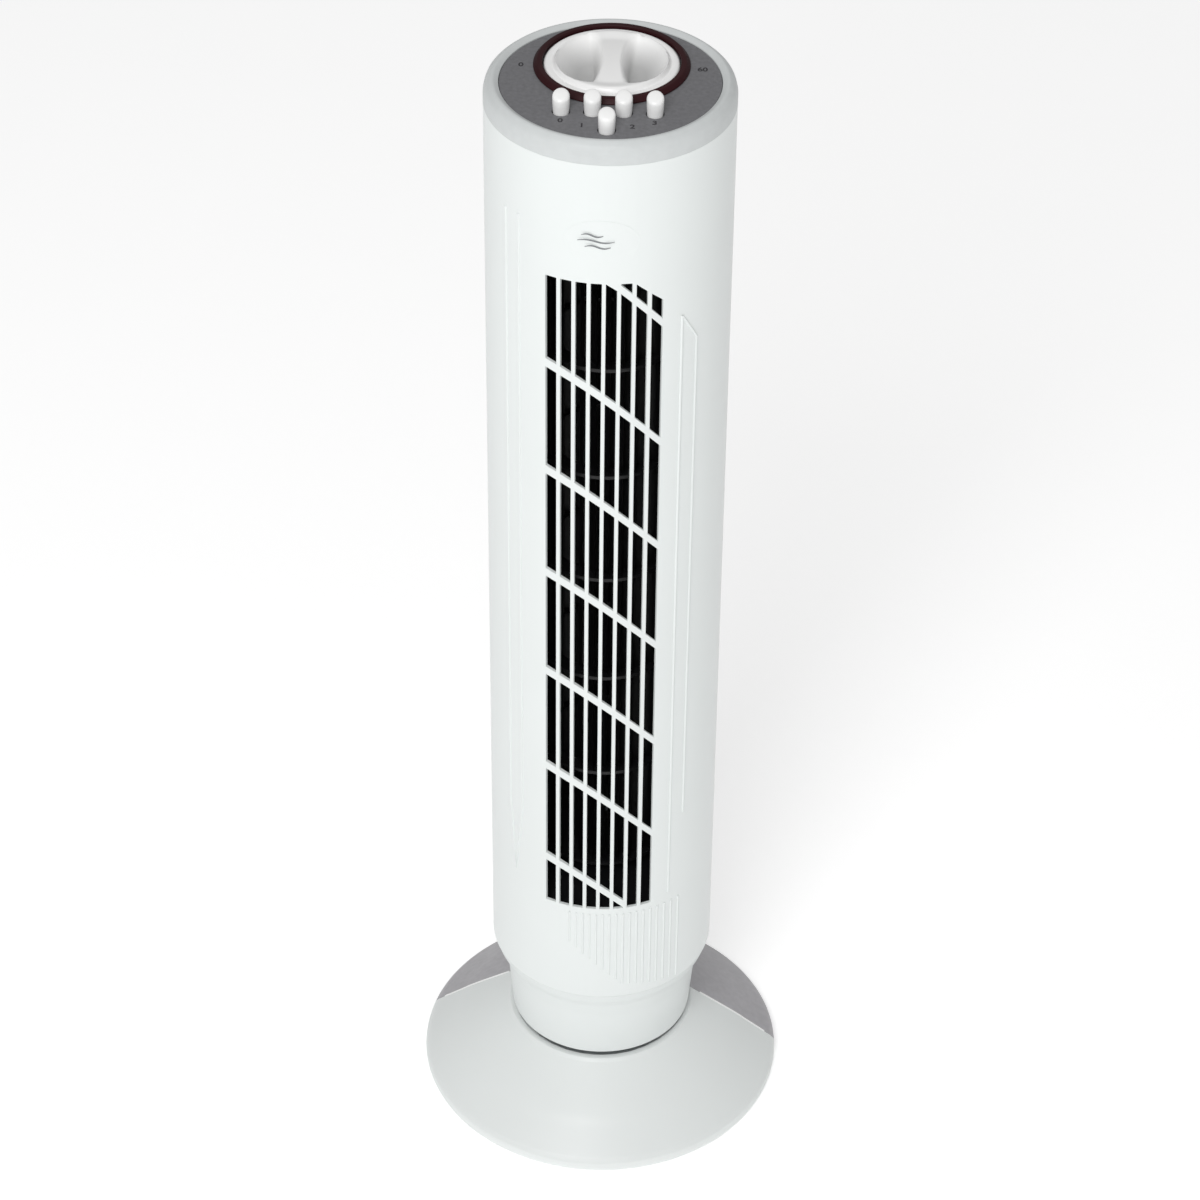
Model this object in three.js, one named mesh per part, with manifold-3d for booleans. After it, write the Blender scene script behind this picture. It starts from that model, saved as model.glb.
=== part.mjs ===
// An oscillating tower fan: a round column with a tangential blower inside, on a two-piece round base.
// Millimetres, +Z up. The origin is on the floor under the column's axis, and the outlet grille faces -Y.
import * as THREE from "three";
import { mergeVertices } from "three/addons/utils/BufferGeometryUtils.js";
import Module from "manifold-3d";

const wasm = await Module();
wasm.setup();

// ---------------------------------------------------------------- driving dimensions
const gap = 0.3; // between pieces that touch
const columnRadius = 69.3;
const shellWall = 2.2;
const shellBottom = 112;
const shellTop = 720;
const rimCrest = 733.4; // highest line of the top rim
const rimWidth = 8.5;
const panelThickness = 2.8;
const panelTop = 731;

const baseRadius = 115;
const baseWall = 2.5;
const footHeight = 4;
const seamTurn = -6; // degrees, the base halves' joint line against the column's X axis
const seamBack = 16; // the joint line passes this far behind the axis

const neckBottom = 51;
const neckBottomRadius = 57;
const neckTop = 90;
const neckStep = 8.8; // the neck's top is this much narrower than the column
const neckWall = 2.5;
const neckFloor = 66; // underside of the neck's floor
const neckFloorThickness = 3;

const grilleBottom = 186.5;
const grilleTop = 645.2;
const grilleCornerStart = 16.7; // past here the grille's top edge falls away
const grilleCornerSlope = 0.9;
const slotCount = 8;
const slotPitch = 8.35;
const slotWidth = 6.1;
const braceCount = 7; // diagonal braces that cross the slots
const bracePitch = 73.1;
const braceHeight = 5.6; // measured upright
const braceAxisHeight = 642.8; // where the top brace crosses the middle of the grille
const braceSlope = 0.8;
const braceCurve = 0.0075;
const topBraceLift = 7; // the top brace sits a little higher than the pitch

const lowerRibCount = 17; // fine ribs under the grille, every other one stronger
const lowerRibStart = -17.6; // x of the first one
const lowerRibPitch = 4.15;

const intakeColumns = 11;
const intakeRows = 4;
const intakePitchAngle = 8.4; // degrees
const intakeSlotWidth = 4.6;
const intakeBottom = 190;
const intakeTop = 636;
const intakeBridge = 9;

const handleWidth = 80;
const handleHeight = 24;
const handleDepth = 20;
const handleBottom = 657;
const handleWall = 2;
const rearSplit = 648; // the rear shell ends here, and the rear top with the handle begins

const blowerY = 6; // the blower's axis is behind the column's axis
const wheelRadius = 41;
const wheelInnerRadius = 32;
const wheelBottom = 192;
const wheelTop = 640;
const bladeCount = 16;
const bladeThickness = 1.2;
const wheelSections = 4;
const discThickness = 2;
const shaftRadius = 3;
const runningClearance = 0.35;

const ductFloorTop = 182.5;
const ductCeiling = 650;
const plateThickness = 2.5;
const plateRoom = 0.5; // between a plate's edge and the shells

const stackRadius = 40;
const stackBottom = 136;
const stackTop = 158;
const rotorRadius = 22;
const airGap = 0.5;
const bracketDepth = 14;

const swingAngle = 35; // degrees each way
const crankEndRoom = 5.9; // past the crank's tip, inside the hub's race
const crankPinRadius = 2;
const slotPlay = 1.2; // each side of the crank pin in the fixed slot
const swingMotorRoom = 2; // between the swing motor and what stands on each side of it
const postRadius = 7.5;
const cordBoreRadius = 4.5;

const knobY = 17.3; // the timer knob sits behind the middle of the panel
const knobRadius = 37.2;
const knobFlangeWidth = 5.4;
const knobBottom = 720.5;
const knobFlangeTop = 732.8;
const knobTop = 735;
const knobGripWidth = 10;
const timerShaftRadius = 3;
const dialRingOffset = 5.8; // from the knob's edge to the ring's outer edge
const dialRingRoom = 0.7; // between the knob and the ring
const dialRingTop = 734.2;

const buttonRadius = 4.7;
const buttonPitch = 16.8;
const buttonRowY = -33;
const swingButtonY = -51.2;
const buttonTop = 743.6;
const buttonSlant = 21.5; // degrees, the top falls towards the front
const buttonTravel = 4;

// ---------------------------------------------------------------- worked out from them
const shellInner = columnRadius - shellWall;
const spigotOuter = shellInner - gap;
const plateRadius = shellInner - plateRoom;
const panelRadius = columnRadius - rimWidth - gap;
const neckTopRadius = columnRadius - neckStep;
const knobDishRadius = knobRadius - knobFlangeWidth;
const dialRingRadius = knobRadius + dialRingOffset;
const beyond = columnRadius + 12; // cutters for the column reach this far out
const panelBottom = panelTop - panelThickness;
const controlDeckTop = panelTop - 44;
const switchTop = panelTop - 21;
const grilleHalfWidth = ((slotCount - 1) * slotPitch + slotWidth) / 2;
const neckRadiusAt = (z) =>
  neckBottomRadius + ((neckTopRadius - neckBottomRadius) * (z - neckBottom)) / (neckTop - neckBottom);

// ---------------------------------------------------------------- materials
const finish = (color, roughness, metalness = 0) => ({ color, roughness, metalness });
const whitePlastic = finish(0xe6eae8, 0.35);
const knobPlastic = finish(0xeeeeec, 0.32);
const panelPlastic = finish(0x4c4b50, 0.55);
const darkRed = finish(0x4f1620, 0.45);
const blackPlastic = finish(0x17171a, 0.5);
const rubber = finish(0x232323, 0.9);
const steel = finish(0xb4b6b8, 0.35, 1);
const zinc = finish(0x9da0a3, 0.45, 1);
const laminations = finish(0x4a4d50, 0.6, 0.8);
const copper = finish(0xb4693a, 0.4, 0.9);
const nylon = finish(0xf2f0e6, 0.5);

// ---------------------------------------------------------------- solids
// A closed geometry as a solid; a profile drawn the other way round is turned to face out.
function solid(geometry) {
  const bare = geometry.clone();
  bare.deleteAttribute("normal");
  bare.deleteAttribute("uv");
  const merged = mergeVertices(bare, 1e-4);
  const vertProperties = new Float32Array(merged.attributes.position.array);
  const triVerts = new Uint32Array(merged.index.array);
  const made = new wasm.Manifold(new wasm.Mesh({ numProp: 3, vertProperties, triVerts }));
  if (made.volume() > 0) return made;
  for (let i = 0; i < triVerts.length; i += 3) {
    [triVerts[i + 1], triVerts[i + 2]] = [triVerts[i + 2], triVerts[i + 1]];
  }
  return new wasm.Manifold(new wasm.Mesh({ numProp: 3, vertProperties, triVerts }));
}

const box = (x0, x1, y0, y1, z0, z1) => {
  const geometry = new THREE.BoxGeometry(x1 - x0, y1 - y0, z1 - z0);
  return solid(geometry.translate((x0 + x1) / 2, (y0 + y1) / 2, (z0 + z1) / 2));
};

// An upright cylinder, or a cone when topRadius is given.
const rod = (radius, z0, z1, x = 0, y = 0, segments = 20, topRadius = radius) => {
  const geometry = new THREE.CylinderGeometry(topRadius, radius, z1 - z0, segments);
  return solid(geometry.rotateX(Math.PI / 2).translate(x, y, (z0 + z1) / 2));
};

// A cylinder along Y.
const rodY = (radius, y0, y1, x, z, segments = 16) => {
  const geometry = new THREE.CylinderGeometry(radius, radius, y1 - y0, segments);
  return solid(geometry.translate(x, (y0 + y1) / 2, z));
};

// A profile of [radius, z] points turned about Z.
const turned = (profile, segments = 40, y = 0) => {
  const points = profile.map(([r, z]) => new THREE.Vector2(r, z));
  if (points[0].x > 0) points.push(points[0].clone());
  const geometry = new THREE.LatheGeometry(points, segments);
  return solid(geometry.rotateX(Math.PI / 2).translate(0, y, 0));
};

const ring = (outer, inner, z0, z1, segments = 40, y = 0) =>
  turned([[inner, z0], [outer, z0], [outer, z1], [inner, z1]], segments, y);

// An outline of [x, y] points pulled up from z0 to z1.
const prism = (outline, z0, z1) => {
  const shape = new THREE.Shape(outline.map(([x, y]) => new THREE.Vector2(x, y)));
  const geometry = new THREE.ExtrudeGeometry(shape, { depth: z1 - z0, bevelEnabled: false });
  return solid(geometry.translate(0, 0, z0));
};

// An outline of [x, z] points pulled along Y.
const prismY = (outline, y0, y1) => {
  const shape = new THREE.Shape(outline.map(([x, z]) => new THREE.Vector2(x, z)));
  const geometry = new THREE.ExtrudeGeometry(shape, { depth: y1 - y0, bevelEnabled: false });
  return solid(geometry.rotateX(Math.PI / 2).translate(0, y1, 0));
};

const join = (...solids) => solids.reduce((all, next) => all.add(next));
const cut = (from, ...tools) => tools.reduce((left, tool) => left.subtract(tool), from);
const turnZ = (made, degrees, x = 0, y = 0) =>
  made.translate([-x, -y, 0]).rotate([0, 0, degrees]).translate([x, y, 0]);

// A sheet of even thickness along a smooth line of [x, y] points, pulled up from z0 to z1.
function sheet(line, thickness, steps, z0, z1) {
  const curve = new THREE.SplineCurve(line.map(([x, y]) => new THREE.Vector2(x, y)));
  const near = [];
  const far = [];
  for (let i = 0; i <= steps; i++) {
    const at = curve.getPoint(i / steps);
    const along = curve.getTangent(i / steps);
    near.push([at.x - (along.y * thickness) / 2, at.y + (along.x * thickness) / 2]);
    far.unshift([at.x + (along.y * thickness) / 2, at.y - (along.x * thickness) / 2]);
  }
  return prism([...near, ...far], z0, z1);
}

// A raised rib on the column's wall, along [angle, z] points; the angle is from the front, in degrees.
function rib(path, width, height) {
  const unrolled = path.map(([a, z]) => new THREE.Vector2(THREE.MathUtils.degToRad(a) * columnRadius, z));
  const corners = unrolled.flatMap((at, i) => {
    const before = at.clone().sub(unrolled[Math.max(i - 1, 0)]).normalize();
    const after = unrolled[Math.min(i + 1, path.length - 1)].clone().sub(at).normalize();
    const along = before.clone().add(after).normalize();
    const lean = i > 0 && i < path.length - 1 ? along.dot(after) : 1;
    const side = new THREE.Vector2(along.y, -along.x).multiplyScalar(width / 2 / lean);
    return [[-1, -0.8], [1, -0.8], [1, height], [-1, height]].map(([s, out]) => {
      const a = (at.x + s * side.x) / columnRadius;
      const r = columnRadius + out;
      return [r * Math.sin(a), -r * Math.cos(a), at.y + s * side.y];
    });
  });
  const index = [];
  for (let i = 0; i + 1 < path.length; i++) {
    for (let k = 0; k < 4; k++) {
      const [a, b] = [i * 4 + k, i * 4 + ((k + 1) % 4)];
      index.push(a, b, b + 4, a, b + 4, a + 4);
    }
  }
  const last = (path.length - 1) * 4;
  index.push(0, 2, 1, 0, 3, 2, last, last + 1, last + 2, last, last + 2, last + 3);
  const geometry = new THREE.BufferGeometry();
  geometry.setAttribute("position", new THREE.Float32BufferAttribute(corners.flat(), 3));
  geometry.setIndex(index);
  return solid(geometry);
}

const tower = new THREE.Group();

// Adds a solid to a group as a named mesh.
function piece(name, made, look, group = tower) {
  const { vertProperties, triVerts, numProp } = made.getMesh();
  const positions = new Float32Array(triVerts.length * 3);
  triVerts.forEach((v, i) => {
    for (let k = 0; k < 3; k++) positions[i * 3 + k] = vertProperties[v * numProp + k];
  });
  const geometry = new THREE.BufferGeometry();
  geometry.setAttribute("position", new THREE.BufferAttribute(positions, 3));
  geometry.computeVertexNormals();
  const mesh = new THREE.Mesh(geometry, new THREE.MeshStandardMaterial(look));
  mesh.name = name;
  group.add(mesh);
  return mesh;
}

// A pan-head screw whose head rests at z = 0 with the shank going up.
const screw = (shank, length, head, headHeight) =>
  join(rod(head, -headHeight, 0, 0, 0, 12), rod(shank, -0.2, length, 0, 0, 10));

// ---------------------------------------------------------------- base
const base = new THREE.Group();
tower.add(base);

const baseRimBottom = 2;
const rimShoulder = 11.4; // where the rim turns into the slope
const slopeBulge = 0.8;
const seatRadius = neckBottomRadius - 1.5; // the hub lies in this seat
const seatTop = 45;
const seatInner = seatRadius - 17.5;
const lipRadius = neckBottomRadius + 4;
const lipTop = 47.5;
const hubRadius = neckBottomRadius - neckWall - 0.8;
const hubBottom = seatTop + gap;
const hubTop = hubBottom + 3;
const raceInner = hubRadius - 3;
const raceTop = neckFloor - 3;
const footRadius = 7;
const footCircle = baseRadius - 12;
const baseScrewCircle = hubRadius - 7.7;
const baseScrewRadius = 2;
const baseScrewAngles = [60, 120, 225, 315];
const footAngles = [45, 135, 225, 315];
const cordNotchWidth = 9;
const cordNotchTop = 10.3;
const polar = (radius, degrees) => {
  const a = THREE.MathUtils.degToRad(degrees);
  return [radius * Math.cos(a), radius * Math.sin(a)];
};

// The slope from the rim up to the lip round the neck, moved down and in by an inset.
const slope = (inset) => [0.25, 0.5, 0.75].map((t) => [
  THREE.MathUtils.lerp(baseRadius - 3, lipRadius, t) - 0.56 * inset,
  THREE.MathUtils.lerp(rimShoulder, lipTop - 1.7, t) + slopeBulge * Math.sin(Math.PI * t) - 0.83 * inset,
]);
const domeOuter = [
  [baseRadius - 1.2, baseRimBottom],
  [baseRadius, 5],
  [baseRadius - 0.6, 8.4],
  [baseRadius - 3, rimShoulder],
  ...slope(0),
  [lipRadius, lipTop - 1.7],
  [lipRadius - 2, lipTop],
];
const domeInner = [
  [seatRadius, lipTop],
  [seatRadius, seatTop],
  [seatInner, seatTop],
  [seatInner, seatTop - baseWall],
  [lipRadius - 2, seatTop - baseWall],
  ...slope(baseWall).reverse(),
  [baseRadius - 5.4, 9],
  [baseRadius - 3.4, baseRimBottom],
];
const domeFilled = turned([[0, 4], ...domeOuter.filter(([, z]) => z > 4), [0, lipTop]]);

let baseShell = turned([...domeOuter, ...domeInner]);
footAngles.forEach((angle) => {
  const boss = rod(footRadius + 1, footHeight + gap, 40, ...polar(footCircle, angle), 20);
  baseShell = join(baseShell, boss.intersect(domeFilled));
});
baseScrewAngles.forEach((angle) => {
  const hole = rod(baseScrewRadius + 0.4, 30, 50, ...polar(baseScrewCircle, angle), 12);
  baseShell = cut(baseShell, hole);
});
const cordNotch = box(
  -cordNotchWidth / 2, cordNotchWidth / 2, baseRadius - 19, baseRadius + 5, 0, cordNotchTop,
);
const side = baseRadius * 1.3;
const baseHalf = (from, to) =>
  baseShell.intersect(turnZ(box(-side, side, from, to, -10, 80), seamTurn));
piece("base_front", baseHalf(-side, seamBack - gap / 2), whitePlastic, base);
piece("base_rear", cut(baseHalf(seamBack + gap / 2, side), cordNotch), whitePlastic, base);

footAngles.forEach((angle, i) => {
  const pad = piece(`foot_pad_${i + 1}`, rod(footRadius, 0, footHeight, 0, 0, 20), rubber, base);
  pad.position.set(...polar(footCircle, angle), 0);
});

// The hub: a disc on the seat, a race for the swivel washer, the hollow post and the slot for the crank pin.
const slotHalf = crankPinRadius + slotPlay;
const slotWall = 3;
const slotStart = postRadius + 1.5;
const slotEnd = raceInner - 0.7;
const slotTop = hubTop + 7.7;
const postTop = 80;
let hub = ring(hubRadius, cordBoreRadius, hubBottom, hubTop, 32);
hub = join(hub, ring(hubRadius, raceInner, hubTop - 0.5, raceTop, 32));
hub = join(hub, ring(postRadius, cordBoreRadius, hubTop - 0.5, postTop, 20));
[-1, 1].forEach((side) => {
  const x0 = side * slotHalf;
  const x1 = side * (slotHalf + slotWall);
  const wall = box(Math.min(x0, x1), Math.max(x0, x1), slotStart, slotEnd, hubTop - 0.5, slotTop);
  hub = join(hub, wall);
});
baseScrewAngles.forEach((angle) => {
  const [x, y] = polar(baseScrewCircle, angle);
  hub = join(hub, rod(baseScrewRadius + 2.6, hubTop - 0.5, hubTop + 5.5, x, y, 12));
  hub = cut(hub, rod(baseScrewRadius + 0.35, hubBottom - 1, hubTop + 4.5, x, y, 12));
});
piece("base_hub", hub, zinc, base);

baseScrewAngles.forEach((angle, i) => {
  const made = screw(baseScrewRadius, 9, baseScrewRadius * 2, 2.4);
  const placed = piece(`base_screw_${i + 1}`, made, steel, base);
  placed.position.set(...polar(baseScrewCircle, angle), seatTop - baseWall - gap);
});

piece("swivel_washer", ring(hubRadius, raceInner, raceTop + gap, neckFloor - gap, 32), nylon, base);

// A nut and washer over the neck's floor keep the column on the post.
const retainerZ = neckFloor + neckFloorThickness + gap;
const nutRadius = 12;
piece("pivot_washer", ring(nutRadius, postRadius + gap, retainerZ, retainerZ + 1.5, 24), steel, base);
const nutHex = rod(nutRadius, retainerZ + 1.5 + gap, retainerZ + 8, 0, 0, 6);
piece("pivot_nut", cut(nutHex, rod(postRadius + gap, 60, 90, 0, 0, 24)), steel, base);

// ---------------------------------------------------------------- column housing
const column = new THREE.Group();
tower.add(column);

// The crank is square to the column's radius at full swing, where it stands 90 degrees from rest.
const crankTip = crankPinRadius + 2;
const crankSwing = Math.tan(THREE.MathUtils.degToRad(swingAngle));
const crankCentre = (raceInner - crankEndRoom - crankTip) / (1 + crankSwing);
const crankRadius = crankCentre * crankSwing;

// The neck: a cup with a floor that turns on the hub, and a spigot that the shells slide over.
const neckFloorTop = neckFloor + neckFloorThickness;
const shoulderBottom = shellBottom - 1;
let neck = turned([
  [neckRadiusAt(neckBottom) - neckWall, neckBottom],
  [neckRadiusAt(neckBottom), neckBottom],
  [neckTopRadius, neckTop],
  [neckTopRadius + 3.2, neckTop + 10],
  [columnRadius - 0.9, shoulderBottom - 3.6],
  [columnRadius, shoulderBottom - gap],
  [spigotOuter, shoulderBottom - gap],
  [spigotOuter, shellBottom + 6],
  [spigotOuter - 2, shellBottom + 6],
  [spigotOuter - 2, shoulderBottom - 3],
  [neckTopRadius - neckWall, neckTop],
  [neckRadiusAt(neckFloorTop) - neckWall, neckFloorTop],
  [postRadius + 0.4, neckFloorTop],
  [postRadius + 0.4, neckFloor],
  [neckRadiusAt(neckFloor) - neckWall, neckFloor],
]);
neck = cut(neck, rod(shaftRadius + 2, neckFloor - 1, neckFloorTop + 1, 0, crankCentre, 16));
piece("neck_housing", neck, whitePlastic, column);

// Where diagonal brace k crosses a given x. The braces bow upwards in the middle.
const braceAt = (k, x) => {
  const lift = k > 0 ? 0 : topBraceLift;
  return braceAxisHeight + lift - k * bracePitch - braceSlope * x - braceCurve * x * x;
};
const topEdgeAt = (x) => grilleTop - Math.max(0, x - grilleCornerStart) * grilleCornerSlope;

const outline = ring(columnRadius, shellInner, shellBottom, shellTop);
const cavity = rod(shellInner + 0.4, 0, 800, 0, 0, 40);
const screwHeights = [150, 630, 675];
const bossX = columnRadius - 10.3;
const bossRadius = 5;
const bossDepth = 14;
const screwHeadY = 8;

let frontShell = outline.intersect(box(-beyond, beyond, -beyond, -gap / 2, 0, 800));
for (let i = 0; i < slotCount; i++) {
  const centre = (i - (slotCount - 1) / 2) * slotPitch;
  const x0 = centre - slotWidth / 2;
  const x1 = centre + slotWidth / 2;
  for (let k = -1; k < braceCount; k++) {
    const upper = (x) => Math.min(topEdgeAt(x), braceAt(k, x) - braceHeight / 2);
    const lower = (x) => Math.max(grilleBottom, braceAt(k + 1, x) + braceHeight / 2);
    if (upper(x0) - lower(x0) < 1 || upper(x1) - lower(x1) < 1) continue;
    const cell = [[x0, lower(x0)], [x1, lower(x1)], [x1, upper(x1)], [x0, upper(x0)]];
    frontShell = cut(frontShell, prismY(cell, -beyond, -columnRadius / 2));
  }
}
// Two pairs of raised rails beside the grille, and fine ribs under it that end on a falling line.
const railWidth = 1.3;
const railHeight = 0.8;
const rails = [
  [[-52, 677], [-52, 252], [-47.5, 199.5]],
  [[-43, 677], [-43, 252], [-47.5, 199.5]],
  [[38, 190], [38, 617], [47, 599], [46.6, 250]],
];
rails.forEach((path) => {
  frontShell = join(frontShell, rib(path, railWidth, railHeight));
});
for (let i = 0; i < lowerRibCount; i++) {
  const x = lowerRibStart + i * lowerRibPitch;
  const angle = THREE.MathUtils.radToDeg(Math.asin(x / columnRadius));
  const bottom = Math.max(145 - 1.25 * (angle + 5), 123 - 0.25 * (angle - 12.6));
  const height = i % 2 === 0 ? 0.6 : 0.4;
  frontShell = join(frontShell, rib([[angle, bottom], [angle, grilleBottom - 4.5]], 0.9, height));
}
let rearShell = outline.intersect(box(-beyond, beyond, gap / 2, beyond, 0, 800));
const intakeCell = (intakeTop - intakeBottom - (intakeRows - 1) * intakeBridge) / intakeRows;
for (let i = 0; i < intakeColumns; i++) {
  for (let k = 0; k < intakeRows; k++) {
    const z0 = intakeBottom + k * (intakeCell + intakeBridge);
    const slot = box(
      -intakeSlotWidth / 2, intakeSlotWidth / 2, columnRadius / 2, beyond, z0, z0 + intakeCell,
    );
    rearShell = cut(rearShell, turnZ(slot, (i - (intakeColumns - 1) / 2) * intakePitchAngle));
  }
}
const handleMouth = box(
  -handleWidth / 2, handleWidth / 2, columnRadius / 2, beyond, handleBottom, handleBottom + handleHeight,
);
rearShell = cut(rearShell, handleMouth);

// Screw bosses: a post in the front shell, and a tube through the rear shell with the head sunk in it.
screwHeights.forEach((z) => {
  [-1, 1].forEach((side) => {
    const x = side * bossX;
    const inward = side * (bossX - bossRadius);
    const web = [Math.min(inward, side * beyond), Math.max(inward, side * beyond)];
    const frontBoss = box(...web, -bossDepth, -gap / 2, z - bossRadius, z + bossRadius);
    frontShell = join(frontShell, frontBoss.intersect(cavity));
    frontShell = cut(frontShell, rodY(1.9, -bossDepth + 2, 1, x, z, 12));
    const rearBoss = box(...web, gap / 2, bossDepth, z - bossRadius, z + bossRadius);
    const rearTube = rodY(bossRadius, gap / 2, columnRadius - 9, x, z, 20);
    rearShell = join(rearShell, rearBoss.intersect(cavity), rearTube.intersect(cavity));
    rearShell = cut(rearShell, rodY(1.9, -1, 20, x, z, 12), rodY(3.7, screwHeadY, beyond, x, z, 16));
  });
});
piece("front_shell", frontShell, whitePlastic, column);
const slab = (z0, z1) => box(-beyond, beyond, -beyond, beyond, z0, z1);
piece("rear_shell", rearShell.intersect(slab(0, rearSplit - gap / 2)), whitePlastic, column);
piece("rear_top", rearShell.intersect(slab(rearSplit + gap / 2, shellTop)), whitePlastic, column);

screwHeights.forEach((z, level) => {
  [-1, 1].forEach((side, i) => {
    const made = screw(1.5, 18, 3.3, 2.2);
    const placed = piece(`shell_screw_${level * 2 + i + 1}`, made, steel, column);
    placed.rotation.x = Math.PI / 2;
    placed.position.set(side * bossX, screwHeadY + gap, z);
  });
});

// The carry handle: a cup let into the rear shell, open to the back.
const cupBack = columnRadius - handleDepth;
const cupBlock = (inset, from) => box(
  -handleWidth / 2 + inset, handleWidth / 2 - inset, from, beyond,
  handleBottom + inset, handleBottom + handleHeight - inset,
);
const handleCup = cut(cupBlock(gap, cupBack - handleWall), cupBlock(gap + handleWall, cupBack))
  .intersect(rod(columnRadius, 600, 720, 0, 0, 40));
piece("handle_cup", handleCup, whitePlastic, column);

// The top rim: rounded over outside, with a ledge inside that carries the panel.
const ledgeTop = panelBottom - gap;
const ledgeWidth = 3;
const rimInner = panelRadius + gap;
const capBottom = shellTop + gap;
const rimArc = Array.from({ length: 4 }, (_, i) => {
  const a = (i / 3) * (Math.PI / 2);
  return [columnRadius - 4.3 + 4.3 * Math.cos(a), rimCrest - 11 + 11 * Math.sin(a)];
});
piece("top_rim", turned([
  [columnRadius, capBottom],
  ...rimArc,
  [rimInner, panelTop + 0.4],
  [rimInner, ledgeTop],
  [rimInner - ledgeWidth, ledgeTop],
  [rimInner - ledgeWidth, ledgeTop - 2.2],
  [spigotOuter - 3, ledgeTop - 2.2],
  [spigotOuter - 2, shellTop],
  [spigotOuter - 2, shellTop - 8],
  [spigotOuter, shellTop - 8],
  [spigotOuter, capBottom],
]), whitePlastic, column);

const badgeX = -1.5;
const badgeZ = 672;
const badgeHalfWidth = 21;
const badgeHalfHeight = 13.5;
const badgeOval = new THREE.EllipseCurve(badgeX, badgeZ, badgeHalfWidth, badgeHalfHeight);
const badgePlate = badgeOval.getPoints(32).slice(0, -1);
const badge = prismY(badgePlate.map((p) => [p.x, p.y]), -beyond, -columnRadius / 2)
  .intersect(ring(columnRadius + 1.1, columnRadius + 0.3, 600, 700, 80));
piece("badge", badge, whitePlastic, column);

// ---------------------------------------------------------------- air duct and blower
piece("duct_floor", cut(
  rod(plateRadius, ductFloorTop - plateThickness, ductFloorTop, 0, 0, 40),
  rod(16, 100, 300, 0, blowerY, 24),
), blackPlastic, column);
const bushSeat = 8.3;
piece("upper_bearing_plate", cut(
  join(
    rod(plateRadius, ductCeiling, ductCeiling + plateThickness, 0, 0, 40),
    rod(bushSeat + 3, ductCeiling - 4, ductCeiling + 6, 0, blowerY, 16),
  ),
  rod(bushSeat, ductCeiling - 5, ductCeiling + 7, 0, blowerY, 16),
), blackPlastic, column);
piece("upper_bush", ring(
  bushSeat - gap, shaftRadius + runningClearance, ductCeiling - 3, ductCeiling + 5, 16, blowerY,
), rubber, column);

const ductBottom = ductFloorTop + gap;
const ductTop = ductCeiling - gap;
const besideGrille = grilleHalfWidth + 3;
const atGrille = -Math.sqrt((shellInner - 2.2) ** 2 - besideGrille ** 2);
piece("scroll_plate", sheet([
  [22.5, 45.5 + blowerY - 6],
  [40, 30],
  [48.5, 6],
  [46, -20.5],
  [39.5, -40],
  [besideGrille, atGrille],
], 1.8, 14, ductBottom, ductTop), blackPlastic, column);
piece("tongue_plate", sheet([
  [-44.5, -3],
  [-42.2, -14],
  [-40, -28],
  [-38.5, -42],
  [-besideGrille, atGrille],
], 1.8, 8, ductBottom, ductTop), blackPlastic, column);

// The tangential blower wheel: straight blades between discs, open in the middle.
const blower = new THREE.Group();
blower.position.y = blowerY;
tower.add(blower);
const sectionHeight = (wheelTop - wheelBottom - discThickness) / wheelSections;
let wheel = join(
  rod(wheelRadius, wheelBottom, wheelBottom + discThickness, 0, 0, 32),
  rod(wheelRadius, wheelTop - discThickness, wheelTop, 0, 0, 32),
  rod(9, wheelBottom, wheelBottom + 14, 0, 0, 16),
);
for (let k = 1; k < wheelSections; k++) {
  const z = wheelBottom + k * sectionHeight;
  wheel = join(wheel, ring(wheelRadius, wheelInnerRadius, z, z + discThickness, 32));
}
for (let i = 0; i < bladeCount; i++) {
  const blade = prism([
    [wheelInnerRadius + 0.6, -bladeThickness / 2],
    [wheelRadius - 0.6, 3.4 - bladeThickness / 2],
    [wheelRadius - 0.6, 3.4 + bladeThickness / 2],
    [wheelInnerRadius + 0.6, bladeThickness / 2],
  ], wheelBottom + 1, wheelTop - 1);
  wheel = join(wheel, turnZ(blade, (i * 360) / bladeCount));
}
wheel = cut(wheel, rod(shaftRadius + gap, wheelBottom - 1, wheelBottom + 12, 0, 0, 16));
wheel = cut(wheel, rod(shaftRadius + gap, wheelTop - 5, wheelTop + 1, 0, 0, 16));
piece("blower_wheel", wheel, blackPlastic, blower);
const topPin = rod(shaftRadius, wheelTop - discThickness - 4, ductCeiling + 6, 0, 0, 16);
piece("wheel_top_pin", topPin, steel, blower);

// ---------------------------------------------------------------- fan motor, hung under the duct floor
const motorTop = stackTop + bracketDepth;
const motorBottom = stackBottom - bracketDepth;
const bearingBore = shaftRadius + runningClearance;
const stack = ring(stackRadius, rotorRadius + airGap, stackBottom, stackTop, 32, blowerY);
piece("motor_stack", stack, laminations, column);
const coil = (z0, z1) => ring(stackRadius - 6, rotorRadius + 2, z0, z1, 24, blowerY);
piece("motor_coil_upper", coil(stackTop + gap, stackTop + 9), copper, column);
piece("motor_coil_lower", coil(stackBottom - 9, stackBottom - gap), copper, column);
const bracket = (face, out) => turned([
  [stackRadius - 0.5, face],
  [stackRadius - 0.5, face + out * 9],
  [stackRadius - 5, face + out * (bracketDepth - gap)],
  [9, face + out * (bracketDepth - gap)],
  [9, face + out * (bracketDepth + 4)],
  [bearingBore, face + out * (bracketDepth + 4)],
  [bearingBore, face + out * (bracketDepth - 2.2)],
  [stackRadius - 6.5, face + out * (bracketDepth - 2.2)],
  [stackRadius - 2.8, face + out * 8],
  [stackRadius - 2.8, face],
], 24, blowerY);
piece("motor_bracket_upper", bracket(stackTop + gap, 1), zinc, column);
piece("motor_bracket_lower", bracket(stackBottom - gap, -1), zinc, column);
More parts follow.
